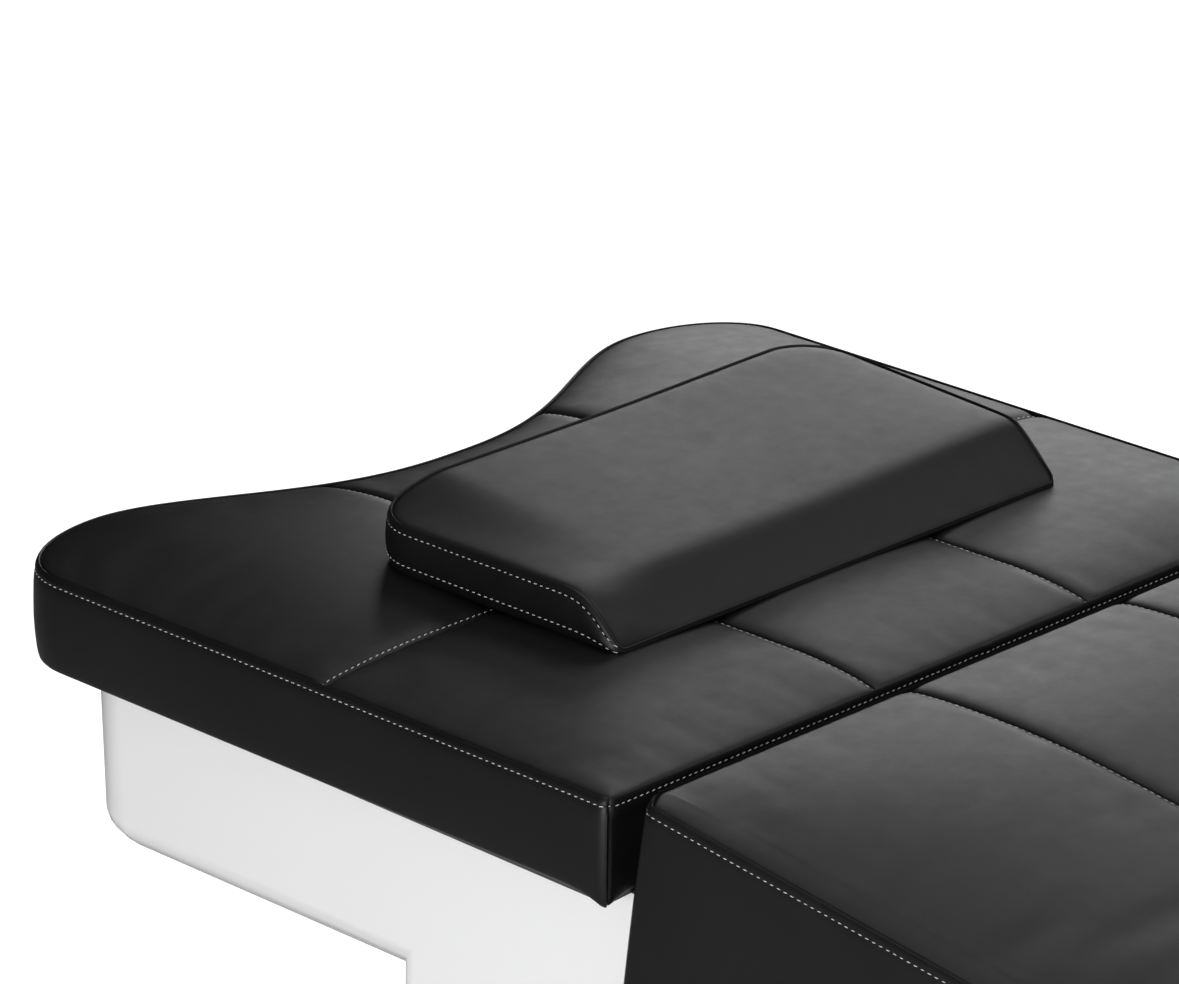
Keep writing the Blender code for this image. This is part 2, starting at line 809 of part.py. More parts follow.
def build_lift_frame(carriage):
    wall_reach = shell_half_width - shell_wall - touch_gap
    bottom_bar = pedestal_foot_y + 2 * rail_inset
    head_bar = pedestal_head_y - rail_inset - tube_size / 2
    top = -ladder_top
    bars = [head_bar, bottom_bar]
    bars += [y + way * (column_depth / 2 - tube_size / 2) for y in column_ys.values() for way in (-1, 1)]
    frame = ladder("lift_frame", carriage, lift_rail_x, (bottom_bar - tube_size, head_bar + tube_size / 2), bars,
                   top, rail_height, {head_bar: wall_reach, bottom_bar: wall_reach})

    def arms(bm):
        for side in (-1, 1):
            box(bm, span(side * lift_rail_x, tube_size), (-tube_size / 2, arm_reach),
                (-arm_top - rail_height, -arm_top), tube_size / 10)

    def posts(bm):
        for side in (-1, 1):
            for y in (0.0, head_bar):
                box(bm, span(side * lift_rail_x, tube_size * 0.8), span(y, tube_size * 0.8),
                    (top - rail_height / 2, -arm_top - rail_height / 2))
        box(bm, (-wall_reach, wall_reach), span(arm_reach - tube_size / 2, tube_size * 0.9),
            (-arm_top - rail_height * 0.9, -arm_top - rail_height * 0.1))

    upper = tool("arms", arms)
    combine(upper, tool("posts", posts), "UNION")
    combine(frame, upper, "UNION")

    plates = []
    turn = [(ear_half_width * math.cos(math.pi * i / 8), ear_half_width * math.sin(math.pi * i / 8))
            for i in range(9)]
    post = turn + [(-ear_half_width, -arm_top - rail_height / 2), (ear_half_width, -arm_top - rail_height / 2)]
    for side in (-1, 1):
        plates.append((post, span(side * lift_rail_x, post_plate_thickness)))
    clevis = clevis_plates(actuator_lane, tilt_actuator_base, (arm_reach - tube_size / 2, -arm_top - rail_height / 2))
    plates += clevis
    foot_bar = column_ys["foot"] + column_depth / 2 - tube_size / 2
    plates += clevis_plates(-actuator_lane, head_actuator_base, (foot_bar, top - rail_height / 4))
    union_plates(frame, "lift_plates", plates)
    bores = [(0.0, 0.0, shaft_radius + touch_gap, (-half_width, half_width))]
    pin_bore = actuator_pin_radius + touch_gap
    lane_span = 2 * actuator_eye_radius + 4 * clevis_ear
    bores.append((*tilt_actuator_base, pin_bore, span(actuator_lane, lane_span)))
    bores.append((*head_actuator_base, pin_bore, span(-actuator_lane, lane_span)))
    drill(frame, "lift_bores", bores)

    bm = bmesh.new()
    rod(bm, (-shaft_end_x, 0, 0), (shaft_end_x, 0, 0), shaft_radius)
    mesh_object("hinge_shaft", bm, carriage, "zinc", smooth=30)

    for side, word in ((-1, "left"), (1, "right")):
        bm = bmesh.new()
        buffer_top = shaft_to_head_frame() - tube_size - touch_gap
        rod(bm, (side * lift_rail_x, head_frame_bars()[-1], -arm_top + touch_gap),
            (side * lift_rail_x, head_frame_bars()[-1], buffer_top), tube_size * 0.45)
        mesh_object("rest_buffer_" + word, bm, carriage, "rubber", smooth=30)

    for end, y in column_ys.items():
        gap = column_wall + column_slide_gap
        width, depth = column_width - 4 * gap, column_depth - 4 * gap
        low = base_rail_bottom + tube_size + touch_gap + 2 * column_stage_step - shaft_z
        hollow_column("column_inner_" + end, carriage, y, width, depth, low, top - rail_height - touch_gap, True)


def shaft_to_head_frame():
    """Top of the head frame, measured from the shaft."""
    return shaft_drop - cushion_thickness - board_thickness - 2 * touch_gap


def head_frame_bars():
    first = shaft_back + rail_inset + tube_size / 2
    last = head_length - scallop_depth - 2 * rail_inset - tube_size
    return (first, (first + last) / 2, last)


# Head section

def build_head(head):
    corner = (shaft_back, shaft_drop)
    cushion("head_cushion", head, corner, head_length, head_crown, (head_crown_run, head_crown_run),
            head_corner_radius, scalloped=True)
    board_top = shaft_drop - cushion_thickness - touch_gap
    flat_board("head_board", head, head_board_outline(), board_top, "plywood")
    top = shaft_to_head_frame()
    bars = head_frame_bars()
    frame = ladder("head_frame", head, head_rail_x, (bars[0] - tube_size / 2, bars[-1] + tube_size / 2), bars, top)
    plates = []
    outline = ear_outline(bars[0], top - touch_gap, top - tube_size + touch_gap)
    for side in (-1, 1):
        plates.append((outline, side_span(side, head_ear_x, head_ear_x + ear_thickness)))
    tip = lever_tip(head_lever_length, head_lever_angle_deg)
    plates.append((lever_outline(tip, (bars[0], top - tube_size / 2), tube_size * 0.9,
                                 lever_slot_travel["head"]), span(-actuator_lane, lever_thickness)))
    union_plates(frame, "head_plates", plates)
    drill(frame, "head_bores", [(0.0, 0.0, bush_bore, (-half_width, half_width))])

    def slot(b):
        slot_cut(b, tip, actuator_pin_radius + lever_slot_play["head"], lever_slot_travel["head"],
                 span(-actuator_lane, 2 * lever_thickness))
    combine(frame, tool("head_slot", slot), "DIFFERENCE")
    for side, word in ((-1, "left"), (1, "right")):
        bush("head_bush_" + word, head, side, head_ear_x, ear_thickness, (0.0, 0.0), shaft_radius)


# Body section

def build_body(body):
    near = -(body_edge_back + body_length)
    cushion("body_cushion", body, (near, body_edge_rise), body_length, body_crown,
            (body_crown_run, body_crown_end_run), body_corner_radius)
    board_top = body_edge_rise - cushion_thickness - touch_gap
    half = half_width - side_panel_thickness - touch_gap
    outline = [(-half, near + board_inset), (half, near + board_inset),
               (half, -body_edge_back - board_inset), (-half, -body_edge_back - board_inset)]
    flat_board("body_board", body, outline, board_top, "plywood")

    for side, word in ((-1, "left"), (1, "right")):
        side_panel("body_side_panel_" + word, body, side, near, board_top)

    top = board_top - board_thickness - touch_gap
    first = -(shaft_back + rail_inset + tube_size / 2)
    last = near + rail_inset + tube_size / 2
    clevis_bar = leg_actuator_base[0] + tube_size
    bars = [first, clevis_bar, (clevis_bar + last) / 2, last]
    frame = ladder("body_frame", body, body_rail_x, (last - tube_size / 2, first + tube_size / 2), bars, top,
                   cross_half={first: lift_rail_x - post_plate_thickness, last: lift_rail_x + tube_size / 2,
                               bars[2]: half - overrun})
    plates = []
    outline = ear_outline(first, top - touch_gap, top - tube_size + touch_gap)
    for side in (-1, 1):
        plates.append((outline, side_span(side, body_ear_x, body_ear_x + ear_thickness)))
        plates.append((leg_lug_outline(last, top), side_span(side, leg_lug_x, leg_lug_x + ear_thickness)))
    tip = lever_tip(tilt_lever_length, tilt_lever_angle_deg - body_slope_deg)
    plates.append((lever_outline(tip, (first, top - tube_size / 2), tube_size * 0.9,
                                 lever_slot_travel["tilt"]), span(actuator_lane, lever_thickness)))
    plates += clevis_plates(0.0, leg_actuator_base, (clevis_bar, top - tube_size * 0.6))
    union_plates(frame, "body_plates", plates)
    reach = span(0.0, 2 * actuator_eye_radius + 4 * clevis_ear)
    drill(frame, "body_bores", [(0.0, 0.0, bush_bore, (-half_width, half_width)),
                                (*leg_axis_local, leg_pin_radius + touch_gap, (-half_width, half_width)),
                                (*leg_actuator_base, actuator_pin_radius + touch_gap, reach)])

    def slot(b):
        slot_cut(b, tip, actuator_pin_radius + lever_slot_play["tilt"], lever_slot_travel["tilt"],
                 span(actuator_lane, 2 * lever_thickness))
    combine(frame, tool("tilt_slot", slot), "DIFFERENCE")

    for side, word in ((-1, "left"), (1, "right")):
        bush("body_bush_" + word, body, side, body_ear_x, ear_thickness, (0.0, 0.0), shaft_radius)
        bm = bmesh.new()
        start = side * (leg_lug_x - ear_thickness)
        end = side * (leg_ear_x + 3 * ear_thickness)
        rod(bm, (start, *leg_axis_local), (end, *leg_axis_local), leg_pin_radius)
        mesh_object("leg_hinge_pin_" + word, bm, body, "zinc", smooth=30)


def leg_lug_outline(bar_y, top):
    """A lug under the foot end of the body frame, out to the leg hinge."""
    y, z = leg_axis_local
    low = top - tube_size + touch_gap
    steps = 8
    turn = [(y - ear_half_width * math.sin(math.pi * i / steps), z + ear_half_width * math.cos(math.pi * i / steps))
            for i in range(steps + 1)]
    return turn + [(y + 2 * ear_half_width, low), (bar_y, low), (bar_y, top - touch_gap),
                   (y + 3 * ear_half_width, top - touch_gap), (y + 2 * ear_half_width, z + ear_half_width)]


def side_panel(name, parent, side, near, top):
    """A padded panel under the cushion's side; its outer face is softly drawn in between the edges."""
    bottom = top - side_panel_depth
    outer = half_width - edge_radius / 8
    inner = half_width - side_panel_thickness
    soft = edge_radius / 2
    profile = [(inner, top), (outer - soft, top), (outer, top - soft), (outer - soft / 2, (top + bottom) / 2),
               (outer, bottom + soft), (outer - soft, bottom), (inner, bottom)]
    ends = [near + soft / 2, near + soft, -body_edge_back - soft, -body_edge_back - soft / 2]
    loops = []
    for index, y in enumerate(ends):
        tuck = soft / 2 if index in (0, len(ends) - 1) else 0.0
        loops.append([(side * min(x, outer - tuck), y, z) for x, z in profile])
    bm = bmesh.new()
    loft(bm, loops)
    mesh_object(name, bm, parent, "leatherette", smooth=40)


# Leg section

def build_leg(leg):
    near = -(leg_edge_back + leg_length)
    cushion("leg_cushion", leg, (near, leg_axis_drop), leg_length, body_crown,
            (body_crown_run, body_crown_end_run), body_corner_radius)
    board_top = leg_axis_drop - cushion_thickness - touch_gap
    half = half_width - board_inset
    outline = [(-half, near + board_inset), (half, near + board_inset),
               (half, -leg_edge_back - board_inset), (-half, -leg_edge_back - board_inset)]
    flat_board("leg_board", leg, outline, board_top, "plywood")
    top = board_top - board_thickness - touch_gap
    first = -(leg_edge_back + board_inset + tube_size)
    last = near + rail_inset + tube_size / 2
    bars = [first, (first + last) / 2, last]
    frame = ladder("leg_frame", leg, leg_rail_x, (last - tube_size / 2, first + tube_size / 2), bars, top,
                   cross_half={first: leg_ear_x + 2 * ear_thickness})
    steps = 8
    ear = [(ear_half_width * math.sin(math.pi * i / steps), ear_half_width * math.cos(math.pi * i / steps))
           for i in range(steps + 1)]
    low = top - tube_size + touch_gap
    ear += [(first / 2, low), (first, low), (first, top - touch_gap), (-leg_edge_back, top - touch_gap)]
    plates = [(ear, side_span(side, leg_ear_x, leg_ear_x + ear_thickness)) for side in (-1, 1)]
    tip = lever_tip(leg_lever_length, leg_lever_angle_deg + body_slope_deg)
    plates.append((lever_outline(tip, (first, top - tube_size / 2), tube_size * 0.9, lever_slot_travel["leg"]),
                   span(0.0, lever_thickness)))
    union_plates(frame, "leg_plates", plates)
    drill(frame, "leg_bores", [(0.0, 0.0, leg_pin_radius + 2 * running_clearance + bush_wall,
                                (-half_width, half_width))])

    def slot(b):
        slot_cut(b, tip, actuator_pin_radius + lever_slot_play["leg"], lever_slot_travel["leg"],
                 span(0.0, 2 * lever_thickness))
    combine(frame, tool("leg_slot", slot), "DIFFERENCE")
    for side, word in ((-1, "left"), (1, "right")):
        bush("leg_bush_" + word, leg, side, leg_ear_x, ear_thickness, (0.0, 0.0), leg_pin_radius)


# Pillow

def build_pillow(parent):
    """A wedge pillow: flat below, round at the back, with a soft ridge over a sloping front."""
    bottom = shaft_drop + head_crown + touch_gap
    top_shares = ((0.0, 0.04), (0.02, 0.22), (0.055, 0.50), (0.10, 0.72), (0.15, 0.86), (0.21, 0.95), (0.29, 1.0),
                  (0.42, 1.0), (0.56, 0.99), (0.70, 0.99), (0.84, 1.0), (0.94, 1.0), (0.985, 0.90), (1.0, 0.66),
                  (1.0, 0.34), (0.985, 0.08), (0.96, 0.0))
    station_shares = (-1.0, -0.985, -0.93, -0.8, -0.55, -0.25, 0.0, 0.25, 0.55, 0.8, 0.93, 0.985, 1.0)
    loops = []
    for station in station_shares:
        x = pillow_offset_x + station * pillow_width / 2
        from_end = (1 - abs(station)) * pillow_width / 2
        swell = 1 - (1 - min(from_end / (pillow_width / 5), 1.0)) ** 2
        back = max(0.0, 1 - from_end / pillow_back_radius)
        depth = pillow_depth - pillow_back_radius * 0.3 * back * back
        loop = [(x, shaft_back + pillow_front_y + (0.03 * pillow_depth), bottom)]
        for along, up in top_shares:
            bulge = pillow_crown * swell * math.sin(math.pi * min(along, 1.0)) ** 0.6 * up
            loop.append((x, shaft_back + pillow_front_y + along * depth, bottom + up * pillow_height + bulge))
        loops.append(loop)
    bm = bmesh.new()
    loft(bm, loops)
    mesh_object("pillow", bm, parent, "leatherette", smooth=40)


# Actuators

def build_actuator(section, parent, lane, base, tip, motor_side):
    """A linear actuator from its rear pivot to a lever's tip: the tube turns, the rod slides."""
    name = section + "_actuator"
    tube_front = actuator_tube_fronts[section]
    rod_start = actuator_rod_starts[section]
    way = Vector((tip[0] - base[0], tip[1] - base[1]))
    length = way.length
    turn = math.atan2(way.y, way.x)
    pivot = empty(name + "_pivot", (lane, *base), parent, turn)
    eye_half = actuator_eye_radius
    bm = bmesh.new()
    rod(bm, (-eye_half, 0, 0), (eye_half, 0, 0), actuator_eye_radius)
    tube = mesh_object(name + "_tube", bm, pivot, "housing", smooth=30)
    gearbox_end = actuator_eye_radius * 6

    def housing(b):
        box(b, (-actuator_tube_radius * 0.55, actuator_tube_radius * 0.55), (actuator_eye_radius * 0.3, gearbox_end / 2),
            span(0, actuator_eye_radius * 1.6))

    def gearbox(b):
        reach = actuator_tube_radius * 3.4 * motor_side
        box(b, (min(-motor_side * actuator_tube_radius, reach), max(-motor_side * actuator_tube_radius, reach)),
            (gearbox_end * 0.35, gearbox_end), span(0, actuator_tube_radius * 2), actuator_tube_radius / 5)

    def barrel(b):
        rod(b, (0, gearbox_end * 0.9, 0), (0, tube_front, 0), actuator_tube_radius * 0.85)

    def motor(b):
        x = actuator_tube_radius * 2.15 * motor_side
        rod(b, (x, gearbox_end * 0.9, 0), (x, gearbox_end + actuator_motor_length, 0), actuator_tube_radius * 0.95)
    combine(tube, tool("housing", housing), "UNION")
    combine(tube, tool("gearbox", gearbox), "UNION")
    combine(tube, tool("barrel", barrel), "UNION")
    combine(tube, tool("motor", motor), "UNION")

    def bore(b):
        rod(b, (0, gearbox_end, 0), (0, tube_front + overrun, 0), actuator_rod_radius + running_clearance)

    def eye_bore(b):
        reach = actuator_eye_radius * 2
        rod(b, (-reach, 0, 0), (reach, 0, 0), actuator_pin_radius + touch_gap)
    combine(tube, tool("bore", bore), "DIFFERENCE")
    combine(tube, tool("eye_bore", eye_bore), "DIFFERENCE")

    fork_back = actuator_eye_radius + lever_slot_room
    bm = bmesh.new()
    rod(bm, (0, rod_start, 0), (0, length - fork_back - actuator_eye_radius / 2, 0), actuator_rod_radius)
    slider = mesh_object(name + "_rod", bm, pivot, "zinc", smooth=30)

    def fork(b):
        half = lever_thickness / 2 + 2 * touch_gap + clevis_ear
        box(b, (-half, half), (length - fork_back - actuator_eye_radius, length + actuator_eye_radius),
            span(0, 2 * actuator_eye_radius), actuator_eye_radius / 4)

    def throat(b):
        half = lever_thickness / 2 + 2 * touch_gap
        box(b, (-half, half), (length - fork_back, length + overrun), (-overrun, overrun))

    def pin_bore(b):
        rod(b, (-overrun, length, 0), (overrun, length, 0), actuator_pin_radius + touch_gap)
    combine(slider, tool("fork", fork), "UNION")
    combine(slider, tool("throat", throat), "DIFFERENCE")
    combine(slider, tool("pin_bore", pin_bore), "DIFFERENCE")

    half = clevis_half_gap + clevis_ear + 2 * touch_gap
    bm = bmesh.new()
    rod(bm, (-half, 0, 0), (half, 0, 0), actuator_pin_radius)
    mesh_object(name + "_rear_pin", bm, pivot, "zinc", smooth=30)
    half = lever_thickness / 2 + 3 * touch_gap + clevis_ear
    bm = bmesh.new()
    rod(bm, (-half, length, 0), (half, length, 0), actuator_pin_radius)
    mesh_object(name + "_front_pin", bm, pivot, "zinc", smooth=30)


def build_bed():
    clear_scene()
    base = empty("base", (0, shaft_y, 0))
    build_base(base)

    middle = empty("column_middle", (0, shaft_y, 0))
    rail_top = base_rail_bottom + tube_size
    for end, y in column_ys.items():
        gap = column_wall + column_slide_gap
        low = rail_top + touch_gap + column_stage_step
        hollow_column("column_middle_" + end, middle, y, column_width - 2 * gap, column_depth - 2 * gap, low,
                      column_outer_top + 2 * column_stage_step)

    carriage = empty("carriage", (0, shaft_y, shaft_z))
    build_lift_frame(carriage)
    build_shell(carriage)

    head = empty("head_section", (0, 0, 0), carriage)
    build_head(head)
    build_pillow(head)

    body = empty("body_section", (0, 0, 0), carriage, body_slope)
    build_body(body)

    leg = empty("leg_section", (0, *leg_axis_local), body, -body_slope)
    build_leg(leg)

    build_actuator("head", carriage, -actuator_lane, head_actuator_base,
                   lever_tip(head_lever_length, head_lever_angle_deg), -1)
    build_actuator("tilt", carriage, actuator_lane, tilt_actuator_base,
                   lever_tip(tilt_lever_length, tilt_lever_angle_deg), 1)
    tip = lever_tip(leg_lever_length, leg_lever_angle_deg)
    build_actuator("leg", body, 0.0, leg_actuator_base, (leg_axis_local[0] + tip[0], leg_axis_local[1] + tip[1]), 1)


build_bed()
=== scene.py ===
import json
import math

import bmesh
import bpy
import numpy as np
from mathutils import Matrix, Vector, noise


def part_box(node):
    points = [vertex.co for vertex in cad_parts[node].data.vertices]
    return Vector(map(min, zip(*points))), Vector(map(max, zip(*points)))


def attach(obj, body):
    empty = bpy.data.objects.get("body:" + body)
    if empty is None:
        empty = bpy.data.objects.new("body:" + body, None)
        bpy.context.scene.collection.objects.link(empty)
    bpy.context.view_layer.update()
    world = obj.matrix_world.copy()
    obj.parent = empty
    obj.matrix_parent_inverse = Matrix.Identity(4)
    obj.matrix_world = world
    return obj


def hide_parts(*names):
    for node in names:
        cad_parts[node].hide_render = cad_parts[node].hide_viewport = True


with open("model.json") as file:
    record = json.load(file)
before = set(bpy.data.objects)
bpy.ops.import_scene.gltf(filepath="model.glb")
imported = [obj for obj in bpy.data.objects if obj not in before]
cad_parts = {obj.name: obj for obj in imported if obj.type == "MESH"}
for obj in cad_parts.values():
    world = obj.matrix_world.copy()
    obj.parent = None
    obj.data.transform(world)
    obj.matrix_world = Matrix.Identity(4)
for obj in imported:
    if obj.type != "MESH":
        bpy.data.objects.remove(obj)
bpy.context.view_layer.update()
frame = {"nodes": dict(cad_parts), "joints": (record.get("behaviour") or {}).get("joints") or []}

joints = {joint["name"]: joint for joint in frame["joints"]}
nodes = frame["nodes"]
mm = 0.001
scene = bpy.context.scene
scene.view_settings.view_transform = "Standard"
print("frame loaded:", len(nodes), "nodes")

# The hinges, and the body section's own axes at the hinge shaft, sloping down to the foot
shaft = Vector(joints["head_raise"]["pos_m"])
legHinge = Vector(joints["leg_lower"]["pos_m"])
bodySlope = math.radians(-joints["body_tilt"]["range_deg"][0])
bodyHere = Matrix.Translation(shaft) @ Matrix.Rotation(bodySlope, 4, "X")


def nodeBoxIn(node, place):
    # lowest and highest corner of a CAD node, measured along the axes of a section
    inside = place.inverted()
    points = np.array([inside @ vertex.co for vertex in nodes[node].data.vertices])
    return points.min(0), points.max(0)


# Node trees

def addNode(tree, kind, **values):
    node = tree.nodes.new(kind)
    for name, value in values.items():
        setattr(node, name, value)
    return node


def wire(tree, *pairs):
    for start, end in pairs:
        tree.links.new(start, end)


def newMaterial(name):
    material = bpy.data.materials.new(name)
    material.use_nodes = True
    tree = material.node_tree
    return material, tree, tree.nodes["Principled BSDF"]


def objectPlace(tree, scale=(1, 1, 1), turn=(0, 0, 0)):
    coords = addNode(tree, "ShaderNodeTexCoord")
    mapping = addNode(tree, "ShaderNodeMapping")
    mapping.inputs["Scale"].default_value = scale
    mapping.inputs["Rotation"].default_value = turn
    wire(tree, (coords.outputs["Object"], mapping.inputs["Vector"]))
    return mapping.outputs["Vector"]


def noiseAt(tree, place, scale, detail=3.0, rough=0.55):
    made = addNode(tree, "ShaderNodeTexNoise")
    made.inputs["Scale"].default_value = scale
    made.inputs["Detail"].default_value = detail
    made.inputs["Roughness"].default_value = rough
    wire(tree, (place, made.inputs["Vector"]))
    return made.outputs["Fac"]


def spread(tree, value, low, high, fromLow=0.0, fromHigh=1.0):
    made = addNode(tree, "ShaderNodeMapRange")
    for name, limit in (("From Min", fromLow), ("From Max", fromHigh), ("To Min", low), ("To Max", high)):
        made.inputs[name].default_value = limit
    wire(tree, (value, made.inputs["Value"]))
    return made.outputs["Result"]


def blendColours(tree, share, one, two):
    made = addNode(tree, "ShaderNodeMix", data_type="RGBA")
    made.inputs["A"].default_value = (*one, 1)
    made.inputs["B"].default_value = (*two, 1)
    wire(tree, (share, made.inputs["Factor"]))
    return made.outputs["Result"]


def bumpFrom(tree, height, distance, strength=1.0, under=None):
    made = addNode(tree, "ShaderNodeBump")
    made.inputs["Distance"].default_value = distance
    made.inputs["Strength"].default_value = strength
    wire(tree, (height, made.inputs["Height"]))
    if under is not None:
        wire(tree, (under, made.inputs["Normal"]))
    return made.outputs["Normal"]


# Finishes

def leatherette():
    look = {"grainSize": 1.15 * mm, "grainDepth": 0.05 * mm, "grainSoftness": 0.35, "grainDrift": 0.5,
            "creaseSize": 14 * mm, "creaseDepth": 0.06 * mm, "wearScale": 6.0, "shine": 0.28,
            "dark": (0.0038, 0.0038, 0.0038), "worn": (0.0058, 0.0058, 0.0058), "gloss": (0.43, 0.49)}
    material, tree, shader = newMaterial("blackLeatherette")
    place = objectPlace(tree)
    cells = addNode(tree, "ShaderNodeTexVoronoi", feature="SMOOTH_F1")
    cells.inputs["Scale"].default_value = 1 / look["grainSize"]
    cells.inputs["Smoothness"].default_value = look["grainSoftness"]
    wobble = noiseAt(tree, place, 0.4 / look["grainSize"], 2.0)
    shift = addNode(tree, "ShaderNodeVectorMath", operation="MULTIPLY_ADD")
    shift.inputs[1].default_value = (look["grainDrift"] * look["grainSize"],) * 3
    wire(tree, (wobble, shift.inputs[0]), (place, shift.inputs[2]), (shift.outputs[0], cells.inputs["Vector"]))
    soft = noiseAt(tree, place, 1 / look["creaseSize"], 4.0, 0.6)
    wide = noiseAt(tree, place, look["wearScale"], 3.0)
    wire(tree, (blendColours(tree, spread(tree, wide, 0, 1, 0.35, 0.65), look["dark"], look["worn"]),
                shader.inputs["Base Color"]),
         (spread(tree, soft, *look["gloss"], 0.3, 0.7), shader.inputs["Roughness"]),
         (bumpFrom(tree, cells.outputs["Distance"], look["grainDepth"], 0.55,
                   bumpFrom(tree, soft, look["creaseDepth"], 0.5)), shader.inputs["Normal"]))
    shader.inputs["Specular IOR Level"].default_value = look["shine"]
    return material


def sewingThread():
    # the thread's white is painted darker in the hollows of its twist bump: painted shade between the twists
    look = {"between": (0.42, 0.42, 0.41), "light": (0.72, 0.72, 0.70), "twistScale": 900.0, "twistDepth": 0.08 * mm}
    material, tree, shader = newMaterial("whiteThread")
    twist = noiseAt(tree, objectPlace(tree), look["twistScale"], 2.0)
    wire(tree, (blendColours(tree, twist, look["between"], look["light"]), shader.inputs["Base Color"]),
         (bumpFrom(tree, twist, look["twistDepth"]), shader.inputs["Normal"]))
    shader.inputs["Roughness"].default_value = 0.6
    shader.inputs["Sheen Weight"].default_value = 0.2
    return material


def whiteShell():
    look = {"clean": (0.87, 0.87, 0.87), "shaded": (0.84, 0.84, 0.845), "gloss": (0.13, 0.22),
            "wave": 1.5 * mm, "peel": 0.02 * mm}
    material, tree, shader = newMaterial("whiteMouldedPlastic")
    place = objectPlace(tree)
    wide = noiseAt(tree, place, 3.0, 4.0)
    fine = noiseAt(tree, place, 240.0, 2.0)
    wire(tree, (blendColours(tree, wide, look["clean"], look["shaded"]), shader.inputs["Base Color"]),
         (spread(tree, wide, *look["gloss"]), shader.inputs["Roughness"]),
         (bumpFrom(tree, fine, look["peel"], 0.4, bumpFrom(tree, wide, look["wave"], 0.25)), shader.inputs["Normal"]))
    shader.inputs["Coat Weight"].default_value = 0.25
    shader.inputs["Coat Roughness"].default_value = 0.08
    return material


def coatedSteel():
    look = {"dark": (0.028, 0.029, 0.031), "light": (0.050, 0.051, 0.054), "gloss": (0.38, 0.56)}
    material, tree, shader = newMaterial("blackPowderCoat")
    place = objectPlace(tree)
    peel = noiseAt(tree, place, 700.0, 2.0)
    wide = noiseAt(tree, place, 14.0, 4.0)
    wire(tree, (blendColours(tree, wide, look["dark"], look["light"]), shader.inputs["Base Color"]),
         (spread(tree, peel, *look["gloss"]), shader.inputs["Roughness"]),
         (bumpFrom(tree, peel, 0.12 * mm, 0.5), shader.inputs["Normal"]))
    return material


def platedSteel():
    look = {"dark": (0.50, 0.51, 0.53), "light": (0.70, 0.70, 0.71), "gloss": (0.22, 0.42),
            "scratches": (60, 900, 900)}
    material, tree, shader = newMaterial("zincPlatedSteel")
    cloud = noiseAt(tree, objectPlace(tree), 90.0, 5.0)
    scratch = noiseAt(tree, objectPlace(tree, look["scratches"]), 1.0, 3.0)
    wire(tree, (blendColours(tree, cloud, look["dark"], look["light"]), shader.inputs["Base Color"]),
         (spread(tree, cloud, *look["gloss"], 0.3, 0.7), shader.inputs["Roughness"]),
         (bumpFrom(tree, scratch, 0.03 * mm, 0.4), shader.inputs["Normal"]))
    shader.inputs["Metallic"].default_value = 1.0
    return material


def columnAluminium():
    # drawn tube, with its lines along the column
    look = {"dark": (0.60, 0.61, 0.63), "light": (0.70, 0.71, 0.73), "gloss": (0.26, 0.40), "lines": (1400, 1400, 6)}
    material, tree, shader = newMaterial("anodisedAluminium")
    lines = noiseAt(tree, objectPlace(tree, look["lines"]), 1.0, 2.0)
    cloud = noiseAt(tree, objectPlace(tree), 25.0, 3.0)
    wire(tree, (blendColours(tree, cloud, look["dark"], look["light"]), shader.inputs["Base Color"]),
         (spread(tree, lines, *look["gloss"]), shader.inputs["Roughness"]),
         (bumpFrom(tree, lines, 0.02 * mm, 0.5), shader.inputs["Normal"]))
    shader.inputs["Metallic"].default_value = 1.0
    return material


def plywood(name, slope):
    # faces show the grain along the bed, edges show the plies
    look = {"ply": 1.9 * mm, "light": (0.55, 0.40, 0.25), "dark": (0.38, 0.25, 0.14), "glue": (0.22, 0.14, 0.08),
            "grain": (60, 3, 60)}
    material, tree, shader = newMaterial(name)
    turned = objectPlace(tree, turn=(-slope, 0, 0))
    stretched = addNode(tree, "ShaderNodeMapping")
    stretched.inputs["Scale"].default_value = look["grain"]
    wire(tree, (turned, stretched.inputs["Vector"]))
    grain = noiseAt(tree, stretched.outputs["Vector"], 1.0, 6.0, 0.65)
    split = addNode(tree, "ShaderNodeSeparateXYZ")
    plies = addNode(tree, "ShaderNodeMath", operation="PINGPONG")
    plies.inputs[1].default_value = look["ply"]
    coords = addNode(tree, "ShaderNodeTexCoord")
    face = addNode(tree, "ShaderNodeSeparateXYZ")
    up = addNode(tree, "ShaderNodeMath", operation="ABSOLUTE")
    wire(tree, (turned, split.inputs[0]), (split.outputs["Z"], plies.inputs[0]),
         (coords.outputs["Normal"], face.inputs[0]), (face.outputs["Z"], up.inputs[0]))
    edge = spread(tree, up.outputs[0], 1, 0, 0.4, 0.6)
    layer = addNode(tree, "ShaderNodeMath", operation="MULTIPLY")
    wire(tree, (spread(tree, plies.outputs[0], 0, 1, 0.0, look["ply"]), layer.inputs[0]), (edge, layer.inputs[1]))
    wood = blendColours(tree, spread(tree, grain, 0, 1, 0.3, 0.7), look["light"], look["dark"])
    mixed = addNode(tree, "ShaderNodeMix", data_type="RGBA")
    mixed.inputs["B"].default_value = (*look["glue"], 1)
    wire(tree, (layer.outputs[0], mixed.inputs["Factor"]), (wood, mixed.inputs["A"]),
         (mixed.outputs["Result"], shader.inputs["Base Color"]),
         (bumpFrom(tree, grain, 0.2 * mm, 0.6), shader.inputs["Normal"]))
    shader.inputs["Roughness"].default_value = 0.68
    return material


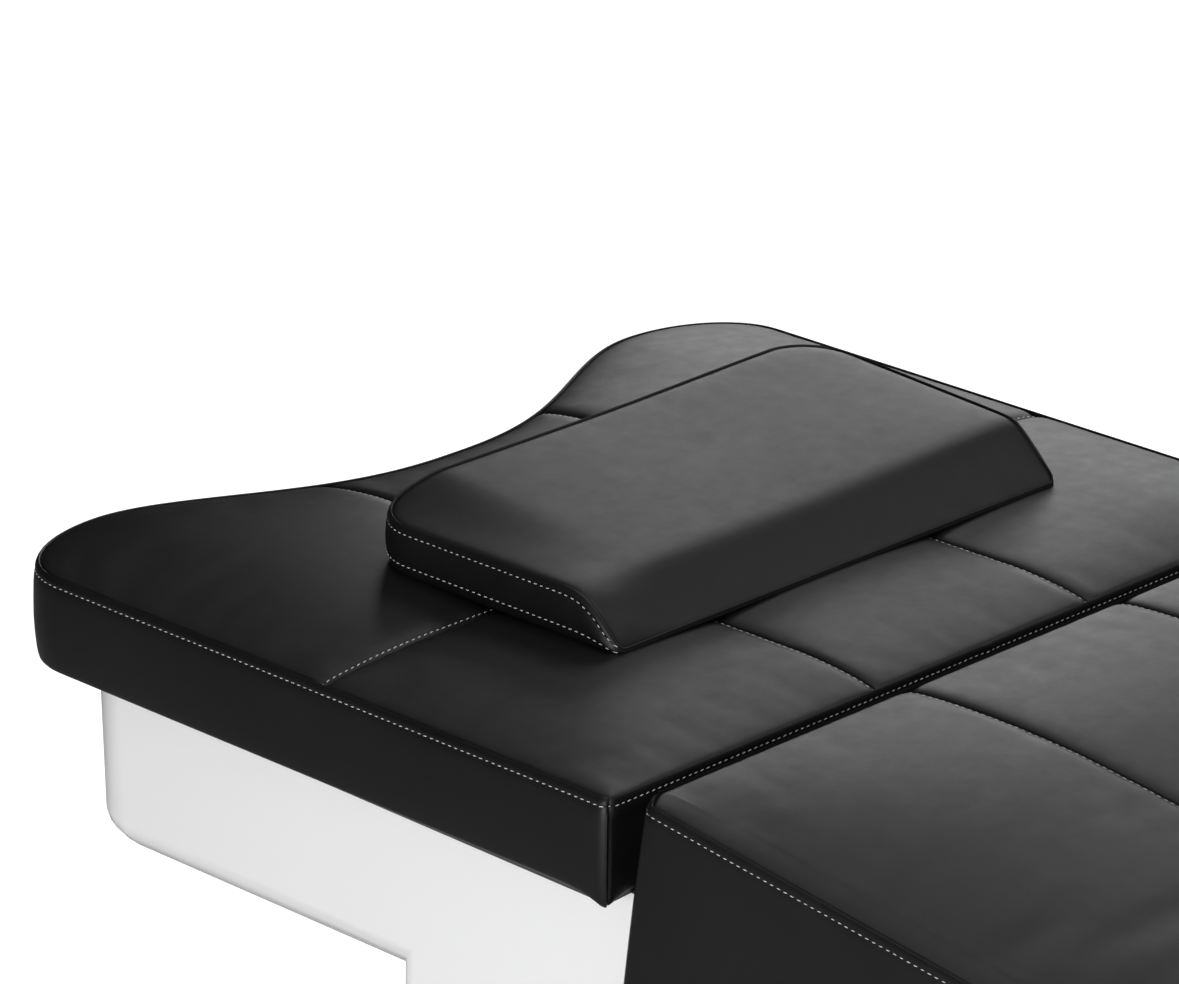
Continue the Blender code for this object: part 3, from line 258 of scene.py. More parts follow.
def plainMoulding(name, dark, light, gloss):
    texture = {"fineScale": 500.0, "wideScale": 12.0, "depth": 0.06 * mm}
    material, tree, shader = newMaterial(name)
    place = objectPlace(tree)
    fine = noiseAt(tree, place, texture["fineScale"], 3.0)
    wide = noiseAt(tree, place, texture["wideScale"], 3.0)
    wire(tree, (blendColours(tree, wide, dark, light), shader.inputs["Base Color"]),
         (spread(tree, fine, *gloss), shader.inputs["Roughness"]),
         (bumpFrom(tree, fine, texture["depth"], 0.6), shader.inputs["Normal"]))
    return material


leather = leatherette()
thread = sewingThread()
finishes = {
    "white_shell": whiteShell(),
    "frame_steel": coatedSteel(),
    "plated_steel": platedSteel(),
    "column_aluminium": columnAluminium(),
    "plywood": plywood("birchPlywood", 0.0),
    "rubber": plainMoulding("blackRubber", (0.012, 0.012, 0.012), (0.024, 0.024, 0.024), (0.65, 0.85)),
    "nylon": plainMoulding("naturalNylon", (0.72, 0.71, 0.66), (0.80, 0.79, 0.75), (0.40, 0.52)),
    "housing_plastic": plainMoulding("greyHousing", (0.075, 0.076, 0.080), (0.11, 0.11, 0.115), (0.45, 0.62)),
}
print("finishes made")


# Outlines in plan. Across is x, along is y from the edge at the hinge, zero is the top seam's height.

def gradedSteps(start, end, fine, coarse):
    # places from start to end, close together at both ends
    growth = 1.32
    half, places, step = (end - start) / 2, [0.0], fine
    while places[-1] < half:
        places.append(places[-1] + step)
        step = min(step * growth, coarse)
    near = [start + place * half / places[-1] for place in places]
    return near + [end + start - place for place in near[-2::-1]]


def planGrid(look):
    # a grid of plan places whose rows end on the outline; corners are (end, width, depth, share cut straight)
    marks = sorted([-look["halfWidth"], *look["seams"], *look["marks"], look["halfWidth"]])
    columns = []
    for start, end in zip(marks, marks[1:]):
        columns += gradedSteps(start, end, look["fine"], look["coarse"])[bool(columns):]
    columns = np.array(columns)
    far = np.array([look["far"](x) for x in columns])
    rowMarks = [0.0, *look["crossSeams"]]
    rows = []
    for start, end in zip(rowMarks, rowMarks[1:]):
        rows += [np.full(len(columns), place) for place in gradedSteps(start, end, look["fine"], look["coarse"])[:-1]]
    start = rowMarks[-1]
    rest = look["length"] - start
    for share in gradedSteps(0.0, 1.0, look["fine"] / rest, look["coarse"] / rest):
        rows.append(start + (far - start) * share)
    across, along = np.repeat(columns[:, None], len(rows), 1), np.array(rows).T
    for end, wide, deep, cut in look["corners"]:
        a = (np.abs(across) - (look["halfWidth"] - wide)) / wide
        b = ((deep - along) if end == "near" else along - (look["length"] - deep)) / deep
        inside = (a > 0) & (b > 0)
        a, b = np.where(inside, a, 0), np.where(inside, b, 0)
        lessA = a * (cut * b / 2 + (1 - cut) * (1 - np.sqrt(1 - b * b / 2)))
        lessB = b * (cut * a / 2 + (1 - cut) * (1 - np.sqrt(1 - a * a / 2)))
        across = np.where(inside, np.sign(across) * (np.abs(across) - wide * lessA), across)
        along = np.where(inside, along + deep * (lessB if end == "near" else -lessB), along)
    return across, along


def rimOf(grid):
    # the border of a grid, anticlockwise from the near left corner
    return np.concatenate([grid[:, 0], grid[-1, 1:], grid[-2::-1, -1], grid[0, -2:0:-1]])


def toOutline(points, outline):
    # least distance from each plan place to the closed outline, some points at a time to spare memory
    batch = 1500
    start, end = outline, np.roll(outline, -1, 0)
    way = end - start
    length = np.maximum((way ** 2).sum(1), 1e-12)
    least = np.empty(len(points))
    for first in range(0, len(points), batch):
        part = points[first:first + batch, None, :]
        share = np.clip(((part - start) * way).sum(2) / length, 0, 1)
        near = start + share[..., None] * way
        least[first:first + batch] = np.sqrt(((part - near) ** 2).sum(2)).min(1)
    return least


def outwardNormals(outline):
    ahead = np.roll(outline, -1, 0) - np.roll(outline, 1, 0)
    normals = np.stack([ahead[:, 1], -ahead[:, 0]], 1)
    return normals / np.maximum(np.linalg.norm(normals, axis=1)[:, None], 1e-9)


# steps of the solver, mass of a sheet's point, and how far it may sag as a share of its rise
sheetCloth = {"quality": 6, "mass": 0.15, "sag": 0.3}


def everyCell(line, cell, held):
    # which of a grid's lines the cloth takes: one in each cell, both ends and all that are held
    count = np.arange(len(line))
    wanted = np.append(np.interp(np.arange(0, line[-1], cell), line, count), count[-1])
    return np.union1d(np.round(wanted).astype(int), np.where(held)[0])


def puffByCloth(name, across, along, height, pinned, puff):
    # a sheet over the foam, held at its seams and blown up by Blender's cloth; returns how far it rises
    picked = [everyCell(np.abs(across[:, 0] - across[0, 0]), puff["cell"], pinned.all(1)),
              everyCell(along[len(along) // 2], puff["cell"], pinned.all(0))]
    take = np.ix_(*picked)
    places = np.stack([across[take], along[take], height[take]], 2)
    wide, deep = places.shape[:2]
    faces = [(i * deep + j, (i + 1) * deep + j, (i + 1) * deep + j + 1, i * deep + j + 1)
             for i in range(wide - 1) for j in range(deep - 1)]
    mesh = bpy.data.meshes.new(name)
    mesh.from_pydata(places.reshape(-1, 3).tolist(), [], faces)
    sheet = bpy.data.objects.new(name, mesh)
    scene.collection.objects.link(sheet)
    group = sheet.vertex_groups.new(name="held")
    group.add(np.where(pinned[take].reshape(-1))[0].tolist(), 1.0, "REPLACE")
    cloth = sheet.modifiers.new("blowUp", "CLOTH")
    settings = cloth.settings
    settings.quality, settings.mass = sheetCloth["quality"], sheetCloth["mass"]
    settings.tension_stiffness = settings.compression_stiffness = puff["stiffness"]
    settings.shear_stiffness = puff["stiffness"] / 2
    settings.bending_stiffness = puff["bending"]
    settings.shrink_min = settings.shrink_max = -puff["spareCloth"]
    settings.vertex_group_mass = "held"
    settings.use_pressure = True
    settings.uniform_pressure_force = puff["pressure"]
    settings.effector_weights.gravity = 0
    cloth.point_cache.frame_start, cloth.point_cache.frame_end = 1, puff["frames"]
    for step in range(1, puff["frames"] + 1):
        scene.frame_set(step)
    result = sheet.evaluated_get(bpy.context.evaluated_depsgraph_get()).data
    moved = np.empty(len(result.vertices) * 3)
    result.vertices.foreach_get("co", moved)
    rise = moved.reshape(wide, deep, 3)[..., 2] - places[..., 2]
    print("  cloth", name, "rose", round(rise.min() / mm, 2), "to", round(rise.max() / mm, 2), "mm")
    scene.frame_set(1)
    bpy.data.objects.remove(sheet)
    rise = np.clip(rise * puff["height"] / max(rise.max(), 1e-6), -sheetCloth["sag"] * puff["height"], puff["height"])
    lines = np.array([np.interp(np.arange(across.shape[1]), picked[1], line) for line in rise])
    return np.array([np.interp(np.arange(across.shape[0]), picked[0], lines[:, j]) for j in range(across.shape[1])]).T


def sewnDip(away, seam):
    # depth beside a sewn channel: soft on the puffed side, flat under the top stitch on the other
    off = np.abs(away)
    puffed = seam["notch"] * np.exp(-off / seam["notchRun"]) + seam["depth"] * np.exp(-off / seam["run"])
    flat = seam["notch"] * np.exp(-off / seam["notchRun"]) + seam["depth"] * np.exp(-(off / seam["flatRun"]) ** 2)
    stitched = seam["stitchDip"] * np.exp(-((away + seam["stitchAt"]) / seam["stitchRun"]) ** 2)
    return np.where(away >= 0, puffed, flat + stitched)


def meshPiece(name, places, faces, material):
    sharp = 60
    mesh = bpy.data.meshes.new(name)
    mesh.from_pydata(np.array(places, float).tolist(), [], faces)
    mesh.materials.append(material)
    mesh.shade_smooth()
    mesh.set_sharp_from_angle(angle=math.radians(sharp))
    piece = bpy.data.objects.new(name, mesh)
    scene.collection.objects.link(piece)
    return piece


channel = {"notch": 1.1 * mm, "notchRun": 0.7 * mm, "depth": 2.4 * mm, "run": 5.5 * mm, "flatRun": 8 * mm,
           "stitchAt": 2.4 * mm, "stitchDip": 0.35 * mm, "stitchRun": 0.9 * mm, "endGap": 3 * mm}
edgeSeam = {"notch": 1.3 * mm, "notchRun": 0.8 * mm, "depth": 1.5 * mm, "run": 7 * mm}
# the sewn strip below the top seam, as (outward, down) from the seam, and the level that its stitches follow
shoulder = [(out * mm, down * mm) for out, down in (
    (0.3, 1.7), (0.6, 0.7), (1.2, 0.3), (2.0, 0.7), (2.7, 1.4), (3.3, 2.3), (3.8, 3.4), (4.2, 4.7), (4.2, 5.7),
    (3.9, 6.5), (4.1, 7.4), (4.6, 8.9), (5.0, 11.5))]
stitchLevel = 9


def betweenRows(grids, marks, place):
    # the line across a grid where a plan coordinate has a given value
    row = int(np.searchsorted(marks, place))
    share = (place - marks[row - 1]) / (marks[row] - marks[row - 1])
    return [(1 - share) * grid[row - 1] + share * grid[row] for grid in grids]


def channelLine(across, along, height, seam, lengthwise):
    # where the top stitch of a channel runs, kept clear of the seams it meets
    at = seam - channel["stitchAt"] if lengthwise else seam + channel["stitchAt"]
    if lengthwise:
        line = betweenRows((across, along, height), across[:, across.shape[1] // 2], at)
    else:
        line = betweenRows((across.T, along.T, height.T), along[len(along) // 2], at)
    line = np.stack(line, 1)
    clear = channel["endGap"]
    keep = (np.linalg.norm(line - line[0], axis=1) > clear) & (np.linalg.norm(line - line[-1], axis=1) > clear)
    return line[keep]


def sewnTop(name, look, across, along, outline):
    # heights of a pad's crowned top, risen between its seams and drawn down at them
    onSeam = 0.01 * mm
    edge = toOutline(np.stack([across.ravel(), along.ravel()], 1), outline).reshape(across.shape)
    height = look["top"](across, along)
    pinned = np.zeros(across.shape, bool)
    pinned[[0, -1], :] = pinned[:, [0, -1]] = True
    for seam in look["seams"]:
        pinned |= np.abs(across - seam) < onSeam
    for seam in look["crossSeams"]:
        pinned |= np.abs(along - seam) < onSeam
    height = height + puffByCloth(name + "Sheet", across, along, height, pinned, look["puff"])
    for seam in look["seams"]:
        height = height - sewnDip(across - seam, channel)
    for seam in look["crossSeams"]:
        height = height - sewnDip(seam - along, channel)
    height = height - edgeSeam["notch"] * np.exp(-edge / edgeSeam["notchRun"])
    return height - edgeSeam["depth"] * np.exp(-edge / edgeSeam["run"])


def puckerRound(look, outline):
    # how far the cloth of a band stands in and out along the outline, as a smooth noise on a circle
    ringStep = np.linalg.norm(np.roll(outline, -1, 0) - outline, axis=1)
    lap = ringStep.sum()
    turnAt = np.concatenate([[0], np.cumsum(ringStep)[:-1]]) / lap * math.tau
    radius = lap / math.tau / look["size"]
    return look["depth"] * np.array([
        noise.noise(Vector((look["seed"], math.cos(turn) * radius, math.sin(turn) * radius))) for turn in turnAt])


def bandRings(look, outline, normals):
    # the rings below the top seam: the sewn strip, the band, the tuck under it and the underside
    seamHeight = look["top"](outline[:, 0], outline[:, 1])
    band = seamHeight - look["bottom"](outline)
    small = np.minimum(1.0, band / (2 * shoulder[-1][1]))
    roll, bandRoll = look["roll"](outline) * small, look["bandRoll"](outline) * small
    tuck, low = look["tuck"] * small, shoulder[-1][1] * small
    pucker = puckerRound(look["pucker"], outline)
    joins = sum(depth * np.exp(-(np.hypot(outline[:, 0] - x, outline[:, 1] - y) / width) ** 2)
                for x, y, depth, width in look["joins"]) * small
    levels = [(out * roll + joins, down * small) for out, down in shoulder]
    for share, out in look["bandLevels"]:
        levels.append(((shoulder[-1][0] + out) * bandRoll + joins, low + share * (band - low - tuck)))
    foot = (shoulder[-1][0] + look["bandLevels"][-1][1]) * bandRoll + joins
    for turn in (math.radians(30), math.radians(60), math.radians(90)):
        levels.append((foot - tuck * (1 - math.cos(turn)), band - tuck * (1 - math.sin(turn))))
    rings = []
    for out, down in levels:
        fold = pucker * np.exp(-((down - look["pucker"]["at"]) / look["pucker"]["run"]) ** 2)
        rings.append(np.column_stack([outline + normals * (out + fold * small)[:, None], seamHeight - down]))
    return rings + look["underside"](rings[-1])


def padFaces(columns, rows, ringCount):
    # the faces of the top's grid, of the rings below it, and one that closes the underside
    index = np.arange(columns * rows).reshape(columns, rows)
    faces = [(index[i, j], index[i + 1, j], index[i + 1, j + 1], index[i, j + 1])
             for i in range(columns - 1) for j in range(rows - 1)]
    above, base = rimOf(index), index.size
    count = len(above)
    for _ in range(ringCount):
        here = np.arange(base, base + count)
        faces += [(above[(k + 1) % count], above[k], here[k], here[(k + 1) % count]) for k in range(count)]
        above, base = here, base + count
    return faces + [tuple(above[::-1])]


def padPiece(name, look, place, material):
    # a sewn pad: crowned top with its channels, a strip and a band round it, and a closed underside
    across, along = planGrid(look)
    outline = np.stack([rimOf(across), rimOf(along)], 1)
    height = sewnTop(name, look, across, along, outline)
    normals = outwardNormals(outline)
    rings = bandRings(look, outline, normals)
    faces = padFaces(*across.shape, len(rings))
    if place.determinant() < 0:
        faces = [face[::-1] for face in faces]
    matrix = np.array(place)
    top = np.stack([across, along, height], 2).reshape(-1, 3)
    places = np.concatenate([top] + rings) @ matrix[:3, :3].T + matrix[:3, 3]
    piece = meshPiece(name, places, faces, material)

    def sewn(line, up, closed=False):
        return line @ matrix[:3, :3].T + matrix[:3, 3], up @ matrix[:3, :3].T, closed

    # the strip's stitches face outwards and a little up, those of the channels straight up
    upwards = 0.15
    outward = np.column_stack([normals, np.full(len(outline), upwards)])
    rows = [sewn(rings[level][keep], outward[keep], len(keep) == len(outline))
            for level, keep in look["sewnRings"](outline)]
    channels = [channelLine(across, along, height, seam, True) for seam in look["seams"]]
    channels += [channelLine(across, along, height, seam, False) for seam in look["crossSeams"]]
    rows += [sewn(line, np.tile([0.0, 0.0, 1.0], (len(line), 1))) for line in channels]
    print("pad", name, len(piece.data.polygons), "faces")
    return piece, rows


# Stitches

sewing = {"Pitch": 6 * mm, "Stitch length": 3.2 * mm, "Thread radius": 0.40 * mm, "Rise": 0.55 * mm, "Slant": 0.14}
handMade = {"turn": 0.05, "smallest": 0.92, "largest": 1.06, "sink": 0.7}


def stitchTree():
    # one bent thread stitch at every step along the paths it is given, each a little different
    tree = bpy.data.node_groups.new("threadStitches", "GeometryNodeTree")
    face = tree.interface
    face.new_socket("Geometry", in_out="INPUT", socket_type="NodeSocketGeometry")
    for name, value in sewing.items():
        face.new_socket(name, in_out="INPUT", socket_type="NodeSocketFloat").default_value = value
    face.new_socket("Seed", in_out="INPUT", socket_type="NodeSocketInt")
    face.new_socket("Material", in_out="INPUT", socket_type="NodeSocketMaterial")
    face.new_socket("Geometry", in_out="OUTPUT", socket_type="NodeSocketGeometry")
    inputs, output = addNode(tree, "NodeGroupInput").outputs, addNode(tree, "NodeGroupOutput")
    curve = addNode(tree, "GeometryNodeMeshToCurve")
    resample = addNode(tree, "GeometryNodeResampleCurve", mode="LENGTH")
    tangent = addNode(tree, "GeometryNodeInputTangent")
    up = addNode(tree, "GeometryNodeInputNamedAttribute", data_type="FLOAT_VECTOR")
    up.inputs["Name"].default_value = "outward"
    along = addNode(tree, "FunctionNodeAlignRotationToVector", axis="X")
    upright = addNode(tree, "FunctionNodeAlignRotationToVector", axis="Z", pivot_axis="X")
    half = addNode(tree, "ShaderNodeMath", operation="MULTIPLY")
    half.inputs[1].default_value = 0.5
    back = addNode(tree, "ShaderNodeMath", operation="MULTIPLY")
    back.inputs[1].default_value = -0.5
    sink = addNode(tree, "ShaderNodeMath", operation="MULTIPLY")
    sink.inputs[1].default_value = -handMade["sink"]
    start, middle, end = (addNode(tree, "ShaderNodeCombineXYZ") for _ in range(3))
    bent = addNode(tree, "GeometryNodeCurveQuadraticBezier")
    bent.inputs["Resolution"].default_value = 4
    circle = addNode(tree, "GeometryNodeCurvePrimitiveCircle")
    circle.inputs["Resolution"].default_value = 6
    tube = addNode(tree, "GeometryNodeCurveToMesh")
    tube.inputs["Fill Caps"].default_value = True
    spin = addNode(tree, "FunctionNodeRandomValue", data_type="FLOAT_VECTOR")
    spin.inputs["Min"].default_value = (0, -handMade["turn"], -handMade["turn"])
    spin.inputs["Max"].default_value = (0, handMade["turn"], handMade["turn"])
    slant = addNode(tree, "ShaderNodeCombineXYZ")
    added = addNode(tree, "ShaderNodeVectorMath", operation="ADD")
    turn = addNode(tree, "FunctionNodeEulerToRotation")
    both = addNode(tree, "FunctionNodeRotateRotation", rotation_space="LOCAL")
    size = addNode(tree, "FunctionNodeRandomValue", data_type="FLOAT")
    size.inputs["Min"].default_value, size.inputs["Max"].default_value = handMade["smallest"], handMade["largest"]
    dots = addNode(tree, "GeometryNodeInstanceOnPoints")
    real = addNode(tree, "GeometryNodeRealizeInstances")
    smooth = addNode(tree, "GeometryNodeSetShadeSmooth")
    finish = addNode(tree, "GeometryNodeSetMaterial")
    wire(tree, (inputs["Geometry"], curve.inputs["Mesh"]), (curve.outputs["Curve"], resample.inputs["Curve"]),
         (inputs["Pitch"], resample.inputs["Length"]), (tangent.outputs[0], along.inputs["Vector"]),
         (along.outputs[0], upright.inputs["Rotation"]), (up.outputs["Attribute"], upright.inputs["Vector"]),
         (inputs["Stitch length"], half.inputs[0]), (inputs["Stitch length"], back.inputs[0]),
         (inputs["Rise"], sink.inputs[0]), (back.outputs[0], start.inputs["X"]), (sink.outputs[0], start.inputs["Z"]),
         (inputs["Rise"], middle.inputs["Z"]), (half.outputs[0], end.inputs["X"]), (sink.outputs[0], end.inputs["Z"]),
         (start.outputs[0], bent.inputs["Start"]), (middle.outputs[0], bent.inputs["Middle"]),
         (end.outputs[0], bent.inputs["End"]), (inputs["Thread radius"], circle.inputs["Radius"]),
         (bent.outputs[0], tube.inputs["Curve"]), (circle.outputs["Curve"], tube.inputs["Profile Curve"]),
         (inputs["Slant"], slant.inputs["Z"]), (spin.outputs[0], added.inputs[0]),
         (slant.outputs[0], added.inputs[1]), (added.outputs[0], turn.inputs[0]),
         (upright.outputs[0], both.inputs["Rotation"]),
         (turn.outputs[0], both.inputs["Rotate By"]), (inputs["Seed"], spin.inputs["Seed"]),
         (inputs["Seed"], size.inputs["Seed"]), (resample.outputs[0], dots.inputs["Points"]),
         (tube.outputs[0], dots.inputs["Instance"]), (both.outputs[0], dots.inputs["Rotation"]),
         (size.outputs[1], dots.inputs["Scale"]), (dots.outputs[0], real.inputs[0]),
         (real.outputs[0], smooth.inputs[0]), (smooth.outputs[0], finish.inputs["Geometry"]),
         (inputs["Material"], finish.inputs["Material"]), (finish.outputs[0], output.inputs[0]))
    return tree


def builtByNodes(name, source, tree, values):
    # runs a node tree on an object and keeps the result as a plain mesh
    modifier = source.modifiers.new("nodes", "NODES")
    modifier.node_group = tree
    sockets = {item.name: item.identifier for item in tree.interface.items_tree
               if item.item_type == "SOCKET" and item.in_out == "INPUT"}
    for key, value in values.items():
        modifier[sockets[key]] = value
    bpy.context.view_layer.update()
    mesh = bpy.data.meshes.new_from_object(source.evaluated_get(bpy.context.evaluated_depsgraph_get()))
    source.modifiers.remove(modifier)
    bpy.data.objects.remove(source)
    mesh.name = name
    piece = bpy.data.objects.new(name, mesh)
    scene.collection.objects.link(piece)
    return piece


def stitchRows(name, paths, values):
    points, edges, ups = [], [], []
    for line, up, closed in paths:
        first = len(points)
        points += line.tolist()
        ups += up.tolist()
        edges += [(first + k, first + k + 1) for k in range(len(line) - 1)]
        if closed:
            edges.append((first + len(line) - 1, first))
    mesh = bpy.data.meshes.new(name + "Path")
    mesh.from_pydata(points, edges, [])
    outward = mesh.attributes.new("outward", "FLOAT_VECTOR", "POINT")
    outward.data.foreach_set("vector", np.array(ups, np.float32).ravel())
    source = bpy.data.objects.new(name + "Path", mesh)
    scene.collection.objects.link(source)
    piece = builtByNodes(name, source, stitches, values)
    print("stitches", name, len(piece.data.polygons), "faces")
    return piece


stitches = stitchTree()


# What the cushions and the pillow share

def easedEdge(distance, run):
    share = np.clip(distance / run, 0, 1)
    return 1 - (1 - share) ** 2


def smoothStep(distance, run):
    share = np.clip(distance / run, 0, 1)
    return share * share * (3 - 2 * share)


endDepth = 2 * mm                   # an outline's points this near its end belong to the end's edge
cornerDip = (-0.9 * mm, 1.1 * mm)   # depth and width of the dip where the strip turns a corner


def allRound(outline):
    # the top stitch of a cushion runs all the way round
    return [(stitchLevel, np.arange(len(outline)))]


def finishPad(piece, rows, body, replaced, seed):
    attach(piece, body)
    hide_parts(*replaced)
    rowsName = piece.name.replace("Cushion", "").replace("Cover", "") + "Stitches"
    sewnRows = stitchRows(rowsName, rows, {**sewing, "Seed": seed, "Material": thread})
    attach(sewnRows, body)


# Head cushion

def makeHeadCushion():
    low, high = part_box("head_cushion")
    look = {
        "halfWidth": high.x, "length": high.y - low.y, "thickness": 76 * mm, "seamAbove": 36 * mm,
        "crown": 7.5 * mm, "crownRun": 80 * mm, "sideRun": 125 * mm, "corners": [("near", 6 * mm, 6 * mm, 0)],
        "seams": [-117 * mm, 117 * mm], "crossSeams": [277 * mm], "marks": [], "fine": 0.6 * mm, "coarse": 8 * mm,
        "scallop": 89 * mm, "scallopShape": 1.3, "lobeTip": 290 * mm, "lobeRun": 70 * mm,
        "droop": 7 * mm, "droopRun": 17 * mm, "gapRoll": 0.6,
        "bandLevels": [(0.1, 0.5 * mm), (0.3, 0.9 * mm), (0.55, 1.0 * mm), (0.75, 0.4 * mm), (0.92, -0.6 * mm),
                       (1.0, -1.4 * mm)],
        "tuck": 5 * mm, "pucker": {"seed": 2.0, "size": 19 * mm, "depth": 0.5 * mm, "at": 15 * mm, "run": 9 * mm},
        "puff": {"cell": 12 * mm, "stiffness": 25, "bending": 0.8, "spareCloth": 0.004, "pressure": 1.2,
                 "frames": 20, "height": 3.2 * mm},
    }

    def far(x):
        beyond = abs(x) - look["lobeTip"]
        if beyond <= 0:
            share = (abs(x) / look["lobeTip"]) ** look["scallopShape"]
            return look["length"] - look["scallop"] * (1 - share * share * (3 - 2 * share))
        run = min(beyond / (look["halfWidth"] - look["lobeTip"]), 1.0)
        return look["length"] - look["lobeRun"] * (1 - math.sqrt(1 - run * run))

    def top(across, along):
        reach = np.vectorize(far)(across)
        lift = easedEdge(look["halfWidth"] - np.abs(across), look["sideRun"]) * easedEdge(along, look["crownRun"])
        return look["crown"] * lift * easedEdge(reach - along, look["crownRun"])

    def bottom(outline):
        # the cover hangs a little lower at its corners by the gap
        corner = np.hypot(look["halfWidth"] - np.abs(outline[:, 0]), outline[:, 1])
        return -look["thickness"] - look["droop"] * np.exp(-(corner / look["droopRun"]) ** 1.5)

    def roll(outline):
        return np.where(outline[:, 1] < endDepth, look["gapRoll"], 1.0)

    def bandRoll(outline):
        # below its strip the face in the gap stays flat, clear of the hinge
        return np.where(outline[:, 1] < endDepth, 0.0, 1.0)

    # a join at the middle of the gap's edge with a dip beside it, and a dip at both corners: x, y, depth, width
    side = look["halfWidth"] - 2.4 * mm
    look["joins"] = [(0, 0, 1.1 * mm, 1.6 * mm), (-14 * mm, 0, -0.5 * mm, 1.2 * mm),
                     (-side, 2.4 * mm, *cornerDip), (side, 2.4 * mm, *cornerDip)]
    look.update(far=far, top=top, bottom=bottom, roll=roll, bandRoll=bandRoll, underside=lambda ring: [],
                sewnRings=allRound)
    place = Matrix.Translation((0, low.y, shaft.z + look["seamAbove"]))
    piece, rows = padPiece("headCushion", look, place, leather)
    finishPad(piece, rows, "head_section", ["head_cushion"], seed=11)


makeHeadCushion()


# Body and leg cushions. The body's cover runs down over its side panels in one piece.

def backwards(place, edge, seam):
    # measures away from the hinge edge, towards the foot
    return place @ Matrix.Translation((0, edge, seam)) @ Matrix.Scale(-1, 4, (0, 1, 0))


def longCushionLook(halfWidth, length, seamAbove, seed):
    look = {
        "halfWidth": halfWidth, "length": length, "thickness": 76 * mm, "seamAbove": seamAbove,
        "crown": 19 * mm, "crownRun": 240 * mm, "endRun": 185 * mm,
        "corners": [("near", 18 * mm, 11 * mm, 0.8), ("far", 18 * mm, 18 * mm, 0)],
        "seams": [-117 * mm, 117 * mm], "crossSeams": [], "marks": [], "fine": 0.6 * mm, "coarse": 8 * mm,
        "bandLevels": [(0.15, 0.5 * mm), (0.35, 0.9 * mm), (0.6, 0.6 * mm), (0.85, 0.0), (1.0, -0.8 * mm)],
        "tuck": 5 * mm, "endRoll": 0.45,
        "pucker": {"seed": seed, "size": 21 * mm, "depth": 0.5 * mm, "at": 15 * mm, "run": 9 * mm},
        "puff": {"cell": 12 * mm, "stiffness": 25, "bending": 0.8, "spareCloth": 0.004, "pressure": 1.2,
                 "frames": 20, "height": 3.2 * mm},
    }

    def top(across, along):
        lift = easedEdge(look["halfWidth"] - np.abs(across), look["crownRun"]) * easedEdge(along, look["endRun"])
        return look["crown"] * lift * easedEdge(look["length"] - along, look["endRun"])

    def roll(outline):
        atEnd = (outline[:, 1] < endDepth) | (outline[:, 1] > look["length"] - endDepth)
        return np.where(atEnd, look["endRoll"], 1.0)

    # a dip at each corner, by its distance in from the side and along
    look["joins"] = [(side * (halfWidth - x), y, *cornerDip)
                     for side in (-1, 1) for x, y in ((0.7 * mm, 10 * mm), (5.3 * mm, length - 5.3 * mm))]
    look.update(far=lambda x: look["length"], top=top, roll=roll, bandRoll=roll, underside=lambda ring: [],
                bottom=lambda outline: np.full(len(outline), -look["thickness"]), sewnRings=allRound)
    return look


def makeBodyCushion():
    low, high = nodeBoxIn("body_cushion", bodyHere)
    panelLow, panelHigh = nodeBoxIn("body_side_panel_left", bodyHere)
    look = longCushionLook(high[0], high[1] - low[1], seamAbove=46.5 * mm, seed=5.0)
    inner = -panelHigh[0]
    drop = look["seamAbove"] - panelLow[2]
    wrap = {"clear": 0.2 * mm, "lip": 0.5 * mm, "end": 6 * mm}
    look["marks"] = [-inner, inner]

    def bottom(outline):
        return np.where(np.abs(outline[:, 0]) > inner + wrap["clear"], -drop, -look["thickness"])

    def underside(ring):
        # under the panels, up their inner faces, and flat between them
        plan = np.column_stack([np.clip(ring[:, 0], -inner, inner),
                                np.clip(ring[:, 1], wrap["end"], look["length"] - wrap["end"])])
        return [np.column_stack([plan, ring[:, 2]]),
                np.column_stack([plan, np.full(len(plan), wrap["lip"] - look["thickness"])])]

    look.update(bottom=bottom, underside=underside)
    piece, rows = padPiece("bodyCushion", look, backwards(bodyHere, high[1], look["seamAbove"]), leather)
    covered = ["body_cushion", "body_side_panel_left", "body_side_panel_right"]
    finishPad(piece, rows, "body_section", covered, seed=12)


def makeLegCushion():
    low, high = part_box("leg_cushion")
    look = longCushionLook(high.x, high.y - low.y, seamAbove=92 * mm, seed=8.0)
    place = backwards(Matrix.Identity(4), high.y, legHinge.z + look["seamAbove"])
    piece, rows = padPiece("legCushion", look, place, leather)
    finishPad(piece, rows, "leg_section", ["leg_cushion"], seed=13)


makeBodyCushion()
makeLegCushion()


# Pillow: a loose wedge whose top runs down its front in one panel

